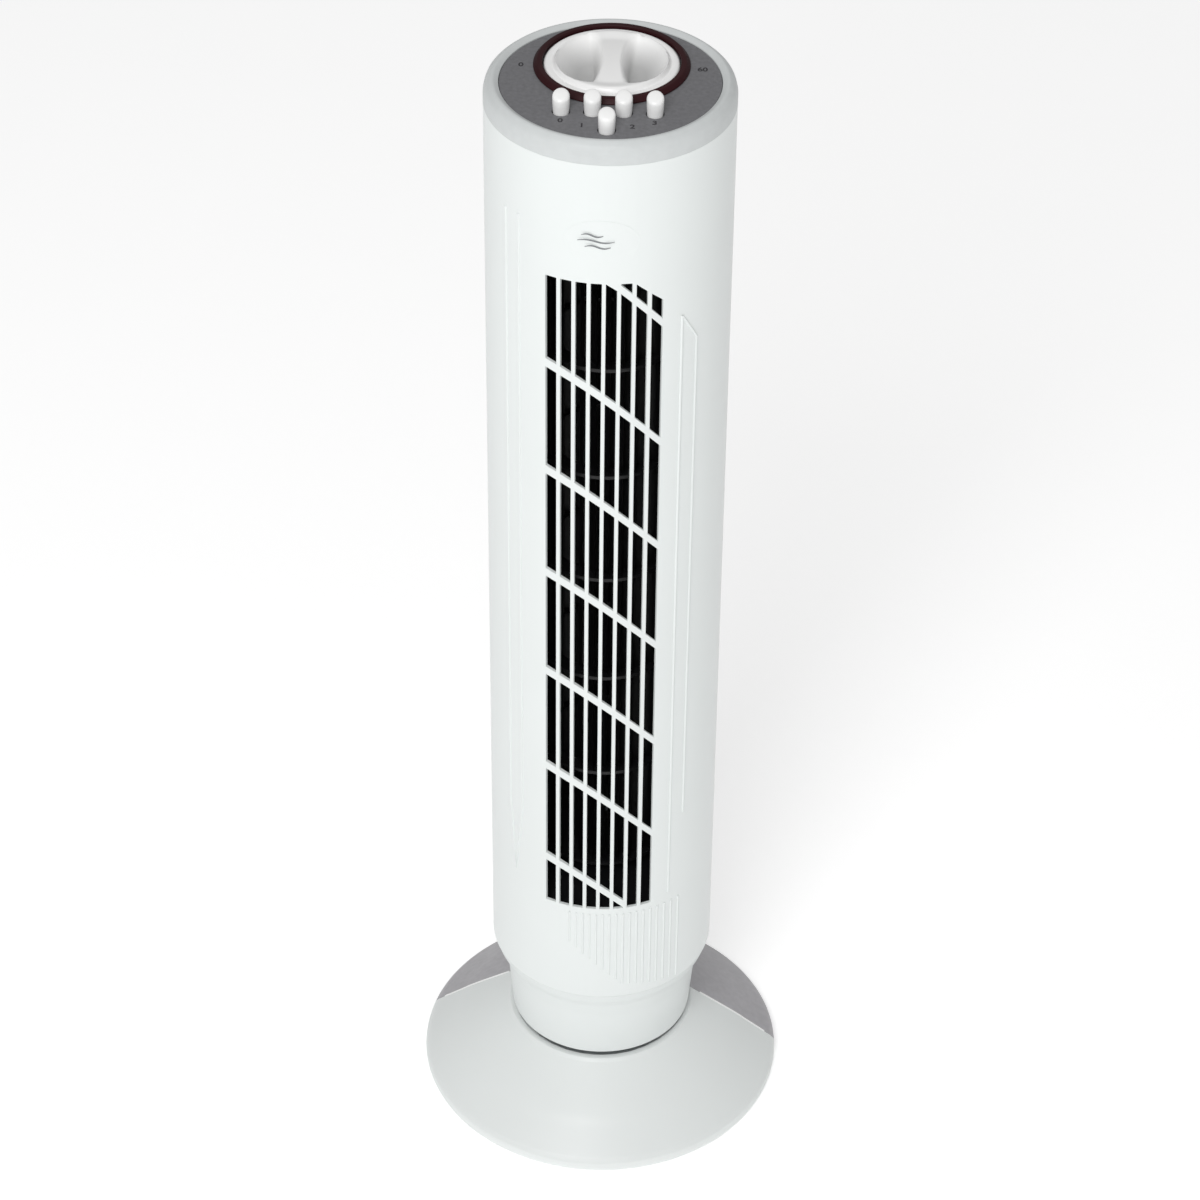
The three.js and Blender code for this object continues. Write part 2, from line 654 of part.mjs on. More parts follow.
const mountCircle = 26;
[30, 150, 270].forEach((angle, i) => {
  const [x, y] = polar(mountCircle, angle);
  const mount = rod(5.5, motorTop + gap, ductFloorTop - plateThickness - gap, 0, 0, 16);
  piece(`motor_mount_${i + 1}`, mount, rubber, column).position.set(x, y + blowerY, 0);
});
const shaftFit = 0.3;
piece("motor_shaft", rod(shaftRadius, motorBottom - 5, wheelBottom + 11, 0, 0, 16), steel, blower);
const rotor = ring(rotorRadius, shaftRadius + shaftFit, stackBottom, stackTop, 24);
piece("motor_rotor", rotor, laminations, blower);
const capacitorBottom = 147;
const capacitor = box(-18, 18, -60, -46, capacitorBottom, ductFloorTop - plateThickness - gap);
piece("capacitor", capacitor, blackPlastic, column);

// ---------------------------------------------------------------- swing drive, in the neck
const crankArmBottom = slotTop + 2;
const crankArmTop = neckFloor - 2.5;
const neckInner = neckRadiusAt(neckFloorTop) - neckWall;
const swingMotorRadius = (neckInner - nutRadius) / 2 - swingMotorRoom;
const swingMotorY = (neckInner + nutRadius) / 2;
const swingMotorEars = swingMotorRadius + 6;
piece("swing_motor", join(
  rod(swingMotorRadius, neckFloorTop + gap, neckFloorTop + 15, 0, swingMotorY, 32),
  box(
    -swingMotorEars, swingMotorEars, swingMotorY - 5, swingMotorY + 5,
    neckFloorTop + gap, neckFloorTop + 2.3,
  ),
), steel, column);
const crank = new THREE.Group();
crank.position.y = crankCentre;
tower.add(crank);
const arm = join(
  rod(6, crankArmBottom, crankArmTop, 0, 0, 20),
  rod(crankTip, crankArmBottom, crankArmTop, 0, crankRadius, 16),
  box(-3.6, 3.6, 0, crankRadius, crankArmBottom, crankArmTop),
  rod(crankPinRadius, hubTop + 1.5, crankArmBottom + 1, 0, crankRadius, 16),
  rod(shaftRadius, crankArmTop - 1, neckFloorTop, 0, 0, 16),
);
piece("swing_crank", arm, nylon, crank);

// ---------------------------------------------------------------- controls, under and through the panel
piece("control_deck", cut(
  rod(plateRadius, controlDeckTop - plateThickness, controlDeckTop, 0, 0, 40),
  box(-30, 30, -18, -12, 600, 720),
), blackPlastic, column);
const timerHalf = 23;
piece("timer_body", box(
  -timerHalf, timerHalf, knobY - timerHalf, knobY + timerHalf, controlDeckTop + gap, knobBottom - 5,
), blackPlastic, column);
const speedSwitchX = buttonPitch * 2 + 2;
piece("speed_switch", box(
  -speedSwitchX, speedSwitchX, buttonRowY - 8, buttonRowY + 8, controlDeckTop + gap, switchTop,
), blackPlastic, column);
piece("swing_switch", box(
  -7, 7, swingButtonY - 6, swingButtonY + 6, controlDeckTop + gap, switchTop,
), blackPlastic, column);

const buttonSeats = [
  ...[0, 1, 2, 3].map((i) => [`speed_button_${i}`, (i - 1.5) * buttonPitch, buttonRowY]),
  ["swing_button", 0, swingButtonY],
];
const buttonClearance = 0.35;
let panel = rod(panelRadius, panelBottom, panelTop, 0, 0, 40);
panel = cut(panel, rod(knobRadius + 0.7, 700, 750, 0, knobY, 40));
buttonSeats.forEach(([, x, y]) => {
  panel = cut(panel, rod(buttonRadius + buttonClearance, 700, 750, x, y, 16));
});
piece("control_panel", panel, panelPlastic, column);

// The dial ring: a raised bezel that stands on the panel, round the knob.
const ringInner = knobRadius + dialRingRoom;
piece("dial_ring", turned([
  [ringInner, panelTop + gap],
  [dialRingRadius, panelTop + gap],
  [dialRingRadius, panelTop + 0.8],
  [dialRingRadius - 2, dialRingTop],
  [ringInner, dialRingTop],
], 40, knobY), darkRed, column);

// A button: a round peg with a sloping top, a collar that keeps it under the panel, and a stem.
const pressGap = 0.5;
buttonSeats.forEach(([name, x, y]) => {
  const slope = Math.tan(THREE.MathUtils.degToRad(buttonSlant));
  const lid = prismY([[-20, 0], [20, 0], [20, 40], [-20, 40]], -30, 30)
    .rotate([buttonSlant, 0, 0])
    .translate([0, 0, buttonTop - buttonRadius * slope]);
  const peg = cut(rod(buttonRadius, panelBottom - 2, buttonTop + 5, 0, 0, 16), lid);
  const made = join(
    peg,
    rod(buttonRadius + 1.6, panelBottom - 3.6, panelBottom - gap, 0, 0, 16),
    rod(2.6, switchTop + buttonTravel + pressGap, panelBottom - 2, 0, 0, 12),
  );
  const group = new THREE.Group();
  group.position.set(x, y, 0);
  tower.add(group);
  piece(name, made, knobPlastic, group);
});

// The timer knob: a low dial with a finger scoop on each side of a grip bar.
const knob = new THREE.Group();
knob.position.y = knobY;
tower.add(knob);
let dial = turned([
  [0, knobBottom],
  [knobRadius - 1, knobBottom],
  [knobRadius, knobBottom + 1],
  [knobRadius, knobFlangeTop - 0.8],
  [knobRadius - 1, knobFlangeTop],
  [knobDishRadius + 0.6, knobFlangeTop],
  [knobDishRadius, knobTop - 0.6],
  [knobDishRadius - 1, knobTop],
  [0, knobTop],
], 40);
const scoop = solid(new THREE.SphereGeometry(1, 16, 8)).scale([13.2, knobDishRadius - 6.5, 10.5]);
[-1, 1].forEach((side) => {
  const wall = side > 0
    ? box(knobGripWidth / 2, 60, -60, 60, 600, 800)
    : box(-60, -knobGripWidth / 2, -60, 60, 600, 800);
  dial = cut(dial, scoop.translate([side * (knobGripWidth / 2 + 9), 0, knobTop]).intersect(wall));
});
dial = cut(dial, rod(timerShaftRadius + gap, knobBottom - 1, knobBottom + 9, 0, 0, 16));
piece("timer_knob", dial, knobPlastic, knob);
piece("timer_shaft", rod(timerShaftRadius, knobBottom - 5 + gap, knobBottom + 8, 0, 0, 16), steel, knob);

export default tower;
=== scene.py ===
import math

import bmesh
import bpy
from mathutils import Matrix, Vector


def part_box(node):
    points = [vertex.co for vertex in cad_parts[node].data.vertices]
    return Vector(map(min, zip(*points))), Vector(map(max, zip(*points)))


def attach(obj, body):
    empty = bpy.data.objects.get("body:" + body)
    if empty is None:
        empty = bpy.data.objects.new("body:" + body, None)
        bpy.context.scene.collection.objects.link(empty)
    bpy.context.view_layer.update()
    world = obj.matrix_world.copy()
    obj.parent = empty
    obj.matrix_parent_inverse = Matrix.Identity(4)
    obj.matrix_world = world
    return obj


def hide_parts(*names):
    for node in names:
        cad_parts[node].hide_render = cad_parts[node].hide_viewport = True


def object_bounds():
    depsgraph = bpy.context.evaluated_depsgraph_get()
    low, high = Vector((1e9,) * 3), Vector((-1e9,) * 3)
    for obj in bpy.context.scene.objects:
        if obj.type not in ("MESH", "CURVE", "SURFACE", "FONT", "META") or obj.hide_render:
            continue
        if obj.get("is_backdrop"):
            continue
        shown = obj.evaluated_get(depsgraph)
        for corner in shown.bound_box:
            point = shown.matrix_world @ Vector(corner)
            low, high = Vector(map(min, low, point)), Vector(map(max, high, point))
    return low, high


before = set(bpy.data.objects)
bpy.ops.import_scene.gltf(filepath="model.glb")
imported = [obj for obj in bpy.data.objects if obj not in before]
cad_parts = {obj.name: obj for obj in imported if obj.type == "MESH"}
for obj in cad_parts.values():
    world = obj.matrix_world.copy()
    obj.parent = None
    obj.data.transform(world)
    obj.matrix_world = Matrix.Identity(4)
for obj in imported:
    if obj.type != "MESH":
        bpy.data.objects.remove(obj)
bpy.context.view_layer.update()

scene = bpy.context.scene
print("frame loaded:", len(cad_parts), "nodes")


# small tools; shapes are given in millimetres and stored in metres

def smoothStep(low, high, value):
    t = min(max((value - low) / (high - low), 0.0), 1.0)
    return t * t * (3 - 2 * t)


def rounded(corners, closed=True):
    # corners are (x, z, fillet radius); a fillet becomes an arc of a few points
    points = []
    count = len(corners)
    for i, (x, z, radius) in enumerate(corners):
        here = Vector((x, z))
        if radius <= 0 or (not closed and i in (0, count - 1)):
            points.append(here)
            continue
        before = Vector(corners[i - 1][:2]) - here
        after = Vector(corners[(i + 1) % count][:2]) - here
        half = before.angle(after) / 2
        reach = min(radius / math.tan(half), before.length * 0.49, after.length * 0.49)
        real = reach * math.tan(half)
        centre = here + (before.normalized() + after.normalized()).normalized() * (real / math.sin(half))
        start = here + before.normalized() * reach - centre
        end = here + after.normalized() * reach - centre
        steps = max(2, round(math.degrees(start.angle(end)) / 15))
        turn = start.angle_signed(end)
        for k in range(steps + 1):
            points.append(centre + Matrix.Rotation(-turn * k / steps, 2) @ start)
    return points


def spun(corners, steps=120, centre=(0, 0), closed=True):
    # turns an (r, z) outline about an upright axis
    bm = bmesh.new()
    points = rounded(corners, closed)
    verts = [bm.verts.new((centre[0] + p.x, centre[1], p.y)) for p in points]
    edges = [bm.edges.new((a, b)) for a, b in zip(verts, verts[1:])]
    if closed:
        edges.append(bm.edges.new((verts[-1], verts[0])))
    bmesh.ops.spin(
        bm, geom=verts + edges, cent=(centre[0], centre[1], 0), axis=(0, 0, 1), dvec=(0, 0, 0),
        angle=math.tau, steps=steps, use_merge=True, use_duplicate=False,
    )
    bmesh.ops.remove_doubles(bm, verts=bm.verts, dist=1e-4)
    bmesh.ops.recalc_face_normals(bm, faces=bm.faces)
    return bm


def drum(radius, low, high, centre=(0, 0), segments=96, along="z"):
    # a capped cylinder, upright or along y (then low and high are y values and centre is x, z)
    bm = bmesh.new()
    bmesh.ops.create_cone(
        bm, cap_ends=True, segments=segments, radius1=radius, radius2=radius, depth=high - low,
    )
    if along == "y":
        quarterTurn = Matrix.Rotation(math.radians(-90), 3, "X")
        bmesh.ops.rotate(bm, cent=(0, 0, 0), matrix=quarterTurn, verts=bm.verts)
        bmesh.ops.translate(bm, vec=(centre[0], (low + high) / 2, centre[1]), verts=bm.verts)
    else:
        bmesh.ops.translate(bm, vec=(centre[0], centre[1], (low + high) / 2), verts=bm.verts)
    return bm


def block(low, high):
    bm = bmesh.new()
    size = [end - start for start, end in zip(low, high)]
    middle = [(end + start) / 2 for start, end in zip(low, high)]
    bmesh.ops.create_cube(bm, size=1)
    bmesh.ops.scale(bm, vec=size, verts=bm.verts)
    bmesh.ops.translate(bm, vec=middle, verts=bm.verts)
    return bm


def joined(*parts):
    whole = bmesh.new()
    for part in parts:
        mesh = bpy.data.meshes.new("part")
        part.to_mesh(mesh)
        part.free()
        whole.from_mesh(mesh)
        bpy.data.meshes.remove(mesh)
    return whole


def asObject(name, bm, scale=0.001):
    mesh = bpy.data.meshes.new(name)
    if scale != 1:
        bmesh.ops.scale(bm, vec=(scale, scale, scale), verts=bm.verts)
    bm.to_mesh(mesh)
    bm.free()
    piece = bpy.data.objects.new(name, mesh)
    scene.collection.objects.link(piece)
    return piece


def baked(piece):
    # puts the modifiers' result into the mesh
    graph = bpy.context.evaluated_depsgraph_get()
    old = piece.data
    piece.data = bpy.data.meshes.new_from_object(piece.evaluated_get(graph))
    piece.data.name = piece.name
    piece.modifiers.clear()
    bpy.data.meshes.remove(old)
    return piece


def carve(piece, cutter, operation="DIFFERENCE"):
    tool = asObject("cutter", cutter)
    boolean = piece.modifiers.new("cut", "BOOLEAN")
    boolean.operation = operation
    boolean.solver = "EXACT"
    boolean.object = tool
    baked(piece)
    mesh = tool.data
    bpy.data.objects.remove(tool)
    bpy.data.meshes.remove(mesh)
    return piece


def intersection(first, second):
    # the shared volume of two shapes, back as a bmesh in millimetres
    whole = carve(asObject("shared", first), second, "INTERSECT")
    bm = bmesh.new()
    bm.from_mesh(whole.data)
    bmesh.ops.scale(bm, vec=(1000, 1000, 1000), verts=bm.verts)
    mesh = whole.data
    bpy.data.objects.remove(whole)
    bpy.data.meshes.remove(mesh)
    return bm


def finishPiece(piece, material, body, nodes=(), bevel=0.0, sharp=32):
    piece.data.materials.clear()
    piece.data.materials.append(material)
    if bevel:
        edge = piece.modifiers.new("edges", "BEVEL")
        edge.width = bevel * 0.001
        edge.segments = 2
        edge.limit_method = "ANGLE"
        edge.angle_limit = math.radians(35)
        edge.use_clamp_overlap = True
        edge.harden_normals = True
    piece.data.shade_smooth()
    piece.data.set_sharp_from_angle(angle=math.radians(sharp))
    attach(piece, body)
    if nodes:
        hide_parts(*nodes)
    return piece


# materials

def node(tree, kind, place, **values):
    made = tree.nodes.new(kind)
    made.location = place
    for key, value in values.items():
        setattr(made, key, value)
    return made


def newMaterial(name):
    material = bpy.data.materials.new(name)
    material.use_nodes = True
    tree = material.node_tree
    shader = tree.nodes["Principled BSDF"]
    spot = node(tree, "ShaderNodeTexCoord", (-1100, 0)).outputs["Object"]
    return material, tree, shader, spot


def ranged(tree, source, low, high, place):
    scale = node(tree, "ShaderNodeMapRange", place)
    tree.links.new(source, scale.inputs["Value"])
    scale.inputs["To Min"].default_value = low
    scale.inputs["To Max"].default_value = high
    return scale.outputs["Result"]


def tinted(tree, source, first, second, place):
    ramp = node(tree, "ShaderNodeValToRGB", place)
    ramp.color_ramp.elements[0].color = (*first, 1)
    ramp.color_ramp.elements[1].color = (*second, 1)
    ramp.color_ramp.elements[0].position = 0.3
    ramp.color_ramp.elements[1].position = 0.7
    tree.links.new(source, ramp.inputs["Fac"])
    return ramp.outputs["Color"]


def noise(tree, spot, scale, detail, place, stretch=None):
    if stretch:
        mapping = node(tree, "ShaderNodeMapping", (place[0] - 200, place[1]))
        mapping.inputs["Scale"].default_value = stretch
        tree.links.new(spot, mapping.inputs["Vector"])
        spot = mapping.outputs["Vector"]
    made = node(tree, "ShaderNodeTexNoise", place)
    made.inputs["Scale"].default_value = scale
    made.inputs["Detail"].default_value = detail
    tree.links.new(spot, made.inputs["Vector"])
    return made.outputs["Fac"]


def bumped(tree, shader, height, strength, distance):
    bump = node(tree, "ShaderNodeBump", (-250, -350))
    bump.inputs["Strength"].default_value = strength
    bump.inputs["Distance"].default_value = distance
    tree.links.new(height, bump.inputs["Height"])
    tree.links.new(bump.outputs["Normal"], shader.inputs["Normal"])


def moulded(name, look):
    # moulded plastic: a slow drift of tone, uneven gloss and a fine grain
    material, tree, shader, spot = newMaterial(name)
    first = look["color"]
    second = [c * look.get("drift", 0.97) for c in first]
    drift = noise(tree, spot, look.get("driftScale", 9), 3, (-800, 250))
    tree.links.new(tinted(tree, drift, first, second, (-550, 250)), shader.inputs["Base Color"])
    gloss = noise(tree, spot, 60, 4, (-800, 0))
    low, high = look["roughness"]
    tree.links.new(ranged(tree, gloss, low, high, (-550, 0)), shader.inputs["Roughness"])
    grain = noise(tree, spot, look.get("grainScale", 1600), 2, (-800, -350))
    bumped(tree, shader, grain, look.get("grain", 0.15), look.get("grainDepth", 0.00004))
    shader.inputs["Specular IOR Level"].default_value = look.get("specular", 0.5)
    shader.inputs["Subsurface Weight"].default_value = look.get("glow", 0.0)
    shader.inputs["Subsurface Radius"].default_value = (0.003, 0.0028, 0.0026)
    return material


def paintedShadeBelow(material, look):
    # painted shade: the tone falls off between two heights, darker towards the bottom of a hollow
    tree = material.node_tree
    shader = tree.nodes["Principled BSDF"]
    tone = shader.inputs["Base Color"].links[0].from_socket
    spot = node(tree, "ShaderNodeTexCoord", (-1100, 600)).outputs["Object"]
    parts = node(tree, "ShaderNodeSeparateXYZ", (-900, 600))
    tree.links.new(spot, parts.inputs["Vector"])
    depth = node(tree, "ShaderNodeMapRange", (-700, 600))
    depth.inputs["From Min"].default_value = look["bottom"]
    depth.inputs["From Max"].default_value = look["top"]
    depth.inputs["To Min"].default_value = look["shade"]
    tree.links.new(parts.outputs["Z"], depth.inputs["Value"])
    darker = node(tree, "ShaderNodeVectorMath", (-250, 400), operation="SCALE")
    tree.links.new(tone, darker.inputs["Vector"])
    tree.links.new(depth.outputs["Result"], darker.inputs["Scale"])
    tree.links.new(darker.outputs["Vector"], shader.inputs["Base Color"])
    return material


def metal(name, look):
    # plated or cast metal; a stretched noise streaks it
    material, tree, shader, spot = newMaterial(name)
    streak = noise(tree, spot, look["scale"], 4, (-800, 0), look["stretch"])
    second = [c * look.get("drift", 0.8) for c in look["color"]]
    tree.links.new(tinted(tree, streak, look["color"], second, (-550, 250)), shader.inputs["Base Color"])
    low, high = look["roughness"]
    tree.links.new(ranged(tree, streak, low, high, (-550, 0)), shader.inputs["Roughness"])
    bumped(tree, shader, streak, look.get("grain", 0.2), look.get("grainDepth", 0.00005))
    shader.inputs["Metallic"].default_value = 1
    return material


def banded(name, look):
    # fine bands along z: stacked sheets or a wound coil
    material, tree, shader, spot = newMaterial(name)
    wave = node(tree, "ShaderNodeTexWave", (-800, 0), wave_type="BANDS", bands_direction="Z")
    wave.inputs["Scale"].default_value = look["scale"]
    wave.inputs["Distortion"].default_value = look.get("wander", 0.0)
    wave.inputs["Detail"].default_value = 1
    tree.links.new(spot, wave.inputs["Vector"])
    second = [c * look.get("drift", 0.5) for c in look["color"]]
    tree.links.new(
        tinted(tree, wave.outputs["Fac"], second, look["color"], (-550, 250)), shader.inputs["Base Color"],
    )
    low, high = look["roughness"]
    tree.links.new(ranged(tree, wave.outputs["Fac"], high, low, (-550, 0)), shader.inputs["Roughness"])
    bumped(tree, shader, wave.outputs["Fac"], 0.5, 0.0002)
    shader.inputs["Metallic"].default_value = look["metallic"]
    return material


bodyWhite = moulded("body white", {
    "color": (0.835, 0.87, 0.86), "drift": 0.98, "roughness": (0.3, 0.42), "grain": 0.12, "specular": 0.4,
})
# the rim plastic is greyer and coarser-grained than the body; part of that darker tone is painted shade on
# the upward-facing rim
rimGreyWithShade = moulded("rim grey with painted shade", {
    "color": (0.65, 0.675, 0.675), "drift": 0.96, "driftScale": 180, "roughness": (0.4, 0.55), "grain": 0.4,
    "grainScale": 900, "specular": 0.35,
})
baseWhite = moulded("base white", {
    "color": (0.845, 0.875, 0.865), "drift": 0.98, "roughness": (0.32, 0.45), "grain": 0.14, "specular": 0.4,
})
# painted shade: the base's rear half gets a darker, greyer copy of the base plastic, for the shade behind the
# column
baseRearPaintedShade = moulded("base rear painted shade", {
    "color": (0.48, 0.47, 0.49), "drift": 0.9, "driftScale": 240, "roughness": (0.35, 0.5), "grain": 0.3,
    "grainScale": 900, "specular": 0.4,
})
controlWhite = moulded("control white", {
    "color": (0.95, 0.95, 0.945), "drift": 0.98, "roughness": (0.25, 0.34), "grain": 0.08,
})
# painted shade on the knob: its white grows darker down in the scoops
knobWhitePaintedShade = paintedShadeBelow(moulded("knob white with painted shade", {
    "color": (0.95, 0.95, 0.945), "drift": 0.98, "roughness": (0.25, 0.34), "grain": 0.08,
}), {"bottom": 0.7235, "top": 0.7325, "shade": 0.5})
panelGrey = moulded("panel grey", {
    "color": (0.185, 0.185, 0.195), "drift": 0.8, "roughness": (0.5, 0.65), "grain": 0.6,
    "grainScale": 1500, "grainDepth": 0.0001, "driftScale": 420,
})
ringRed = moulded("ring red", {
    "color": (0.03, 0.002, 0.004), "drift": 0.7, "roughness": (0.45, 0.6), "grain": 0.1, "specular": 0.25,
})
printDark = moulded("print dark", {"color": (0.035, 0.033, 0.037), "roughness": (0.5, 0.6), "grain": 0.1})
printGrey = moulded("print grey", {"color": (0.22, 0.23, 0.24), "roughness": (0.4, 0.5), "grain": 0.1})
blackPlastic = moulded("black plastic", {
    "color": (0.008, 0.008, 0.009), "drift": 0.7, "roughness": (0.4, 0.6), "grain": 0.3,
    "grainDepth": 0.00008,
})
wheelBlack = moulded("wheel black", {
    "color": (0.010, 0.010, 0.011), "drift": 0.8, "roughness": (0.3, 0.5), "grain": 0.15,
})
rubberBlack = moulded("rubber black", {
    "color": (0.018, 0.018, 0.018), "drift": 0.7, "roughness": (0.7, 0.9), "grain": 0.5,
    "grainDepth": 0.0001, "specular": 0.3,
})
nylonWhite = moulded("nylon", {
    "color": (0.80, 0.79, 0.74), "drift": 0.95, "roughness": (0.35, 0.5), "glow": 0.15,
})
platedSteel = metal("plated steel", {
    "color": (0.62, 0.63, 0.65), "roughness": (0.22, 0.42), "scale": 40, "stretch": (1, 1, 12),
})
castMetal = metal("cast metal", {
    "color": (0.50, 0.51, 0.52), "roughness": (0.42, 0.62), "scale": 260, "stretch": (1, 1, 1), "grain": 0.5,
    "grainDepth": 0.00012,
})
sheetStack = banded("sheet stack", {
    "color": (0.24, 0.25, 0.27), "scale": 160, "roughness": (0.4, 0.6), "metallic": 0.9,
})
copperWire = banded("copper wire", {
    "color": (0.52, 0.22, 0.09), "scale": 190, "wander": 1.5, "roughness": (0.3, 0.5), "metallic": 0.9,
})
print("materials made")


# the carried-over nodes that keep their own shape

def numbered(stem, count):
    return [f"{stem}_{i}" for i in range(1, count + 1)]


keptNodes = [
    (rubberBlack, [*numbered("foot_pad", 4), *numbered("motor_mount", 3), "upper_bush"]),
    (castMetal, ["base_hub", "motor_bracket_upper", "motor_bracket_lower"]),
    (nylonWhite, ["swivel_washer", "swing_crank"]),
    (platedSteel, [
        *numbered("base_screw", 4), *numbered("shell_screw", 6), "pivot_washer", "pivot_nut", "wheel_top_pin",
        "motor_shaft", "swing_motor", "timer_shaft",
    ]),
    (bodyWhite, ["handle_cup"]),
    (blackPlastic, [
        "duct_floor", "upper_bearing_plate", "scroll_plate", "tongue_plate", "capacitor", "control_deck",
        "timer_body", "speed_switch", "swing_switch",
    ]),
    (sheetStack, ["motor_stack", "motor_rotor"]),
    (copperWire, ["motor_coil_upper", "motor_coil_lower"]),
]
for material, nodeNames in keptNodes:
    for nodeName in nodeNames:
        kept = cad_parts[nodeName]
        kept.data.materials.clear()
        kept.data.materials.append(material)

softened = {"nodes": ["handle_cup", *numbered("foot_pad", 4)], "width": 0.6, "fromAngle": 50}
for nodeName in softened["nodes"]:
    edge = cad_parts[nodeName].modifiers.new("edges", "BEVEL")
    edge.width = softened["width"] * 0.001
    edge.segments = 2
    edge.limit_method = "ANGLE"
    edge.angle_limit = math.radians(softened["fromAngle"])
print("carried-over nodes finished")


# sizes read from the frame, in millimetres

def span(nodeName):
    low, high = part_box(nodeName)
    return [v * 1000 for v in low], [v * 1000 for v in high]


frontLow, frontHigh = span("front_shell")
rearHigh = span("rear_shell")[1]
rearTopLow = span("rear_top")[0]
rimLow, rimHigh = span("top_rim")
neckLow, neckHigh = span("neck_housing")
baseHigh = span("base_front")[1]
panelLow, panelHigh = span("control_panel")
knobLow, knobHigh = span("timer_knob")
wheelLow, wheelHigh = span("blower_wheel")

columnRadius = rearHigh[1]
shellBottom, shellTop = frontLow[2], frontHigh[2]


# front and rear shells: a grid of cells, curved onto the column and given a wall

column = {
    "wall": 2.2, "edge": 0.5, "edgeFrom": 0.6, "tightEnds": 1, "tightSides": 2, "halfGap": 0.15,
    "slots": 8, "slotPitch": 8.35, "slotWidth": 6.1,
    "grilleBottom": 186.5, "grilleTop": 645.2,
    "braces": 7, "bracePitch": 73.1, "braceHeight": 5.6, "braceAxisHeight": 642.8,
    "braceSlope": 0.8, "braceCurve": 0.0075, "topBraceLift": 7,
    "cornerStart": 16.7, "cornerSlope": 0.9,
    "intakeColumns": 11, "intakePitch": 8.4, "intakeWidth": 4.6,
    "intakeBottom": 190, "intakeTop": 636, "intakeRows": 4, "intakeBridge": 9,
    "handleHalfWidth": 40, "handleBottom": 657, "handleTop": 681,
    "screwX": columnRadius - 10.3, "screwHeights": (150, 630, 675),
    "screwHead": 3.7, "screwShank": 2, "screwTube": 4.9, "headDepth": 8,
}


def wallGrid(angles, levelsAt, isOpen, facing):
    # one vertex per angle and level; the open cells are deleted
    rows = len(levelsAt(angles[0]))
    bm = bmesh.new()
    bmesh.ops.create_grid(bm, x_segments=len(angles) - 1, y_segments=rows - 1, size=1)
    ordered = sorted(bm.verts, key=lambda v: (round(v.co.y, 5), round(v.co.x, 5)))
    for index, vert in enumerate(ordered):
        row, place = divmod(index, len(angles))
        vert.co = (angles[place], 0, levelsAt(angles[place])[row])
    openFaces = []
    for face in bm.faces:
        middle = face.calc_center_median()
        if isOpen(middle.x, middle.z):
            openFaces.append(face)
    bmesh.ops.delete(bm, geom=openFaces, context="FACES")
    bmesh.ops.remove_doubles(bm, verts=bm.verts, dist=0.02)
    bmesh.ops.dissolve_degenerate(bm, dist=0.02, edges=bm.edges)
    for vert in bm.verts:
        angle, height = vert.co.x, vert.co.z
        vert.co = (columnRadius * math.sin(angle), facing * columnRadius * math.cos(angle), height)
    bmesh.ops.recalc_face_normals(bm, faces=bm.faces)
    outward = sum(f.normal.y * facing * f.calc_area() for f in bm.faces)
    if outward < 0:
        bmesh.ops.reverse_faces(bm, faces=bm.faces)
    return bm


def spread(start, end, step):
    count = max(1, round(abs(end - start) / step))
    return [start + (end - start) * i / count for i in range(count + 1)]


def walled(name, bm):
    piece = asObject(name, bm)
    wall = piece.modifiers.new("wall", "SOLIDIFY")
    wall.thickness = column["wall"] * 0.001
    wall.offset = -1
    wall.use_even_offset = True
    return baked(piece)


def softenOpenings(piece, low, high):
    # rounds the edges of the openings and leaves the outer edges tight
    bm = bmesh.new()
    bm.from_mesh(piece.data)
    weights = bm.edges.layers.float.new("bevel_weight_edge")
    for edge in bm.edges:
        z = [v.co.z * 1000 for v in edge.verts]
        y = max(abs(v.co.y) * 1000 for v in edge.verts)
        inside = min(z) > low + column["tightEnds"] and max(z) < high - column["tightEnds"]
        inside = inside and y > column["tightSides"]
        if inside and len(edge.link_faces) == 2 and edge.calc_face_angle() > column["edgeFrom"]:
            edge[weights] = 1
    bm.to_mesh(piece.data)
    bm.free()
    edge = piece.modifiers.new("edges", "BEVEL")
    edge.limit_method = "WEIGHT"
    edge.width = column["edge"] * 0.001
    edge.segments = 3
    edge.harden_normals = True


def braceAt(k, x):
    lift = column["topBraceLift"] if k == 0 else 0
    return (column["braceAxisHeight"] + lift - k * column["bracePitch"]
            - column["braceSlope"] * x - column["braceCurve"] * x * x)


def grilleTopAt(x):
    return column["grilleTop"] - max(0, x - column["cornerStart"]) * column["cornerSlope"]


edgeAngle = math.acos(column["halfGap"] / columnRadius)
slotEdges = []
for i in range(column["slots"]):
    middle = (i - (column["slots"] - 1) / 2) * column["slotPitch"]
    slotEdges += [middle - column["slotWidth"] / 2, middle + column["slotWidth"] / 2]
grilleHalf = slotEdges[-1]
slotAngles = [math.asin(x / columnRadius) for x in slotEdges]
fineStep = math.radians(3)
frontAngles = (
    spread(-edgeAngle, slotAngles[0], fineStep)[:-1] + slotAngles
    + spread(slotAngles[-1], edgeAngle, fineStep)[1:]
)


def frontLevels(angle):
    x = min(max(columnRadius * math.sin(angle), -grilleHalf), grilleHalf)
    top = grilleTopAt(x)
    levels = [shellBottom, column["grilleBottom"]]
    for k in reversed(range(column["braces"])):
        for side in (-0.5, 0.5):
            z = braceAt(k, x) + side * column["braceHeight"]
            levels.append(min(max(z, column["grilleBottom"]), top))
    return levels + [top, shellTop]


